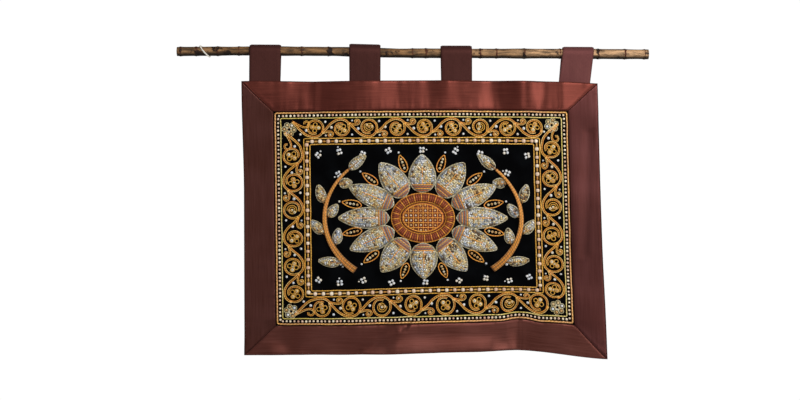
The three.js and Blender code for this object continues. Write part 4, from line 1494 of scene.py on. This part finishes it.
def sprayWork(sideName, mirror, silver, gold, copper, spots):
    pad = stemPad(mirror)
    hand = sideName.title()
    padPiece(f"stem{hand}", f"stem_{sideName}", pad, copperFelt, columns=40, rows=8)
    for k, v in enumerate(stem["cordsAt"]):
        alongPad(pad, copper if k % 2 == 0 else gold, v, 0.005, 0.99, stem["cord"], count=24)
    for number, leaf in enumerate(leaves, 1):
        pad = leafPad(leaf, mirror)
        padPiece(f"leaf{hand}{number}", f"leaf_{sideName}_{number}", pad, silverLame, 14, 8)
        strewSequins(pad, spots, *foliage["scales"], foliage["warmer"])
        outline(pad, silver, foliage["outline"])
        alongPad(pad, copper, 0, -0.12, 0.55, foliage["rib"], count=5)


def flowerPiece():
    silver, rust, gold, copper = [bmesh.new() for _ in range(4)]
    petalSpots, leafSpots, sparks = [], [], []
    for number in range(petal["count"]):
        petalWork(number, silver, rust, gold, petalSpots, sparks)
    heartWork(rust, gold, sparks)
    collarWork(rust, gold)
    for number in range(petal["count"]):
        sepalWork(number, gold, sparks)
    for sideName, mirror in (("left", -1), ("right", 1)):
        sprayWork(sideName, mirror, silver, gold, copper, leafSpots)
    finishPiece("silverOutlines", silver, [silverCord])
    finishPiece("rustCords", rust, [rustCord])
    finishPiece("goldCords", gold, [orangeGold])
    finishPiece("stemCords", copper, [copperCord])
    scatter("petalSequins", sequinShape(8), petalSpots, silverSequin)
    scatter("leafSequins", sequinShape(8), leafSpots, silverSequin)
    goldSpots.extend(sparks)


# Small flowers of sequins on the open velvet, and a single sequin beside some of them
fieldFlowers = [
    (-186, 112), (-148, 118), (-106, 113), (-60, 119), (0, 120), (60, 118), (104, 114), (150, 118),
    (188, 111), (-188, -110), (-150, -116), (-108, -112), (-58, -118), (2, -119), (62, -117), (110, -112),
    (152, -117), (187, -109), (-150, 78), (152, 80), (-146, -78), (148, -80),
]
fieldFlower = {
    "petals": 4, "from": 3.9, "sequin": 5.3, "askew": 0.2, "tilt": 0.35,
    "single": 3.2, "singleFrom": 8.4, "singleTurn": 0.8, "singles": 0.6,  # the share that have one
}


def strewFieldFlowers():
    height = velvetFace + scroll["beadUp"]
    for middle in fieldFlowers:
        turn = random.uniform(0, 2 * math.pi)
        for k in range(fieldFlower["petals"]):
            angle = turn + k * 2 * math.pi / fieldFlower["petals"]
            angle += random.uniform(-fieldFlower["askew"], fieldFlower["askew"])
            at = (*fromMiddle(middle, fieldFlower["from"], angle), height)
            whiteSpots.append(sequinSpot(at, fieldFlower["sequin"], fieldFlower["tilt"]))
        if random.random() < fieldFlower["singles"]:
            angle = turn + fieldFlower["singleTurn"]
            at = (*fromMiddle(middle, fieldFlower["singleFrom"], angle), height)
            whiteSpots.append(sequinSpot(at, fieldFlower["single"], fieldFlower["tilt"]))


flowerPiece()
strewFieldFlowers()
finishPiece("scrollCords", vineCords, [orangeGold])
finishPiece("paleScrollCords", paleCords, [creamGold])
finishPiece("loopCords", loopCords, [yellowGold])
finishPiece("cornerCords", cornerCords, [agedSilver])
scatter("whiteSequins", sequinShape(9), whiteSpots, whiteSequin)
scatter("goldSequins", sequinShape(9), goldSpots, goldSequin)
print("flower ready")


# Floor, light and camera

studio = {
    "viewWidth": 1.44, "lens": 65, "middle": (-0.0369, -0.2637),  # of the view, right and up
    "floorDrop": 0.75, "floorRadius": 2.2, "speckleMm": 4.545,
    # the sky is brighter behind the cloth, so that its gloss keeps its contrast
    "skyTurns": (0.55, 0.9), "frontSky": 0.14, "backSky": 1.02,
}
lamps = table(
    "name at towards size power",
    ("windowAbove", (0.24, -1.4, 0.75), (0, 0, -0.2), (0.3, 0.6), 13),
    ("windowRight", (1.3, -1.5, 0.05), (0, 0, -0.25), (0.5, 1.5), 18),
    ("fillLeft", (-1.5, -2, -0.5), (0, 0, -0.28), (0.8, 1.1), 5.5))


def studioFloor():
    bm = bmesh.new()
    bmesh.ops.create_circle(bm, cap_ends=True, segments=96, radius=studio["floorRadius"])
    bmesh.ops.translate(bm, verts=bm.verts, vec=(0, 0, cadBox[0][2] - studio["floorDrop"]))
    mesh = meshFrom("floor", bm)
    paint = newMaterial("matteFloorPaint")  # emulsion: pale, matt, faintly speckled
    place = addNode(paint, "TexCoord", out="Object")
    speckle = addNode(paint, "TexNoise", {"Vector": place, "Scale": 1000 / studio["speckleMm"]})
    colour = addNode(paint, "Mix", {0: speckle, 6: "dcdad6", 7: "e6e4e0"}, 2, data_type="RGBA")
    mesh.materials.append(shade(paint, {"Base Color": colour, "Roughness": 0.9}))
    addObject("floor", mesh)


def areaLight(lamp):
    light = bpy.data.lights.new(lamp["name"], "AREA")
    light.shape = "RECTANGLE"
    light.size, light.size_y = lamp["size"]
    light.energy = lamp["power"]
    holder = addObject(lamp["name"], light)
    holder.location = lamp["at"]
    way = np.array(lamp["towards"]) - np.array(lamp["at"])
    flatLength = math.hypot(way[0], way[1])
    holder.rotation_euler = (math.atan2(flatLength, -way[2]), 0, math.atan2(-way[0], way[1]))


def studioSky():
    world = bpy.data.worlds.new("softStudio")
    world.use_nodes = True
    background = world.node_tree.nodes["Background"]
    background.inputs["Color"].default_value = (1, 1, 1, 1)
    place = addNode(world, "TexCoord", out="Generated")
    back = addNode(world, "SeparateXYZ", {0: place}, 1)
    turns = studio["skyTurns"]
    strength = addNode(world, "MapRange", {
        0: back, 1: turns[0], 2: turns[1], 3: studio["frontSky"], 4: studio["backSky"]})
    world.node_tree.links.new(strength, background.inputs["Strength"])
    bpy.context.scene.world = world


def studioCamera():
    lens = bpy.data.cameras.new("camera")
    lens.lens = studio["lens"]
    lens.sensor_width = 36
    distance = studio["viewWidth"] * studio["lens"] / lens.sensor_width
    camera = addObject("camera", lens)
    camera.location = (studio["middle"][0], -distance, studio["middle"][1])
    camera.rotation_euler = (math.pi / 2, 0, 0)
    bpy.context.scene.camera = camera


studioFloor()
studioSky()
for lamp in lamps:
    areaLight(lamp)
studioCamera()
bpy.context.scene.view_settings.view_transform = "Standard"
print("studio ready")
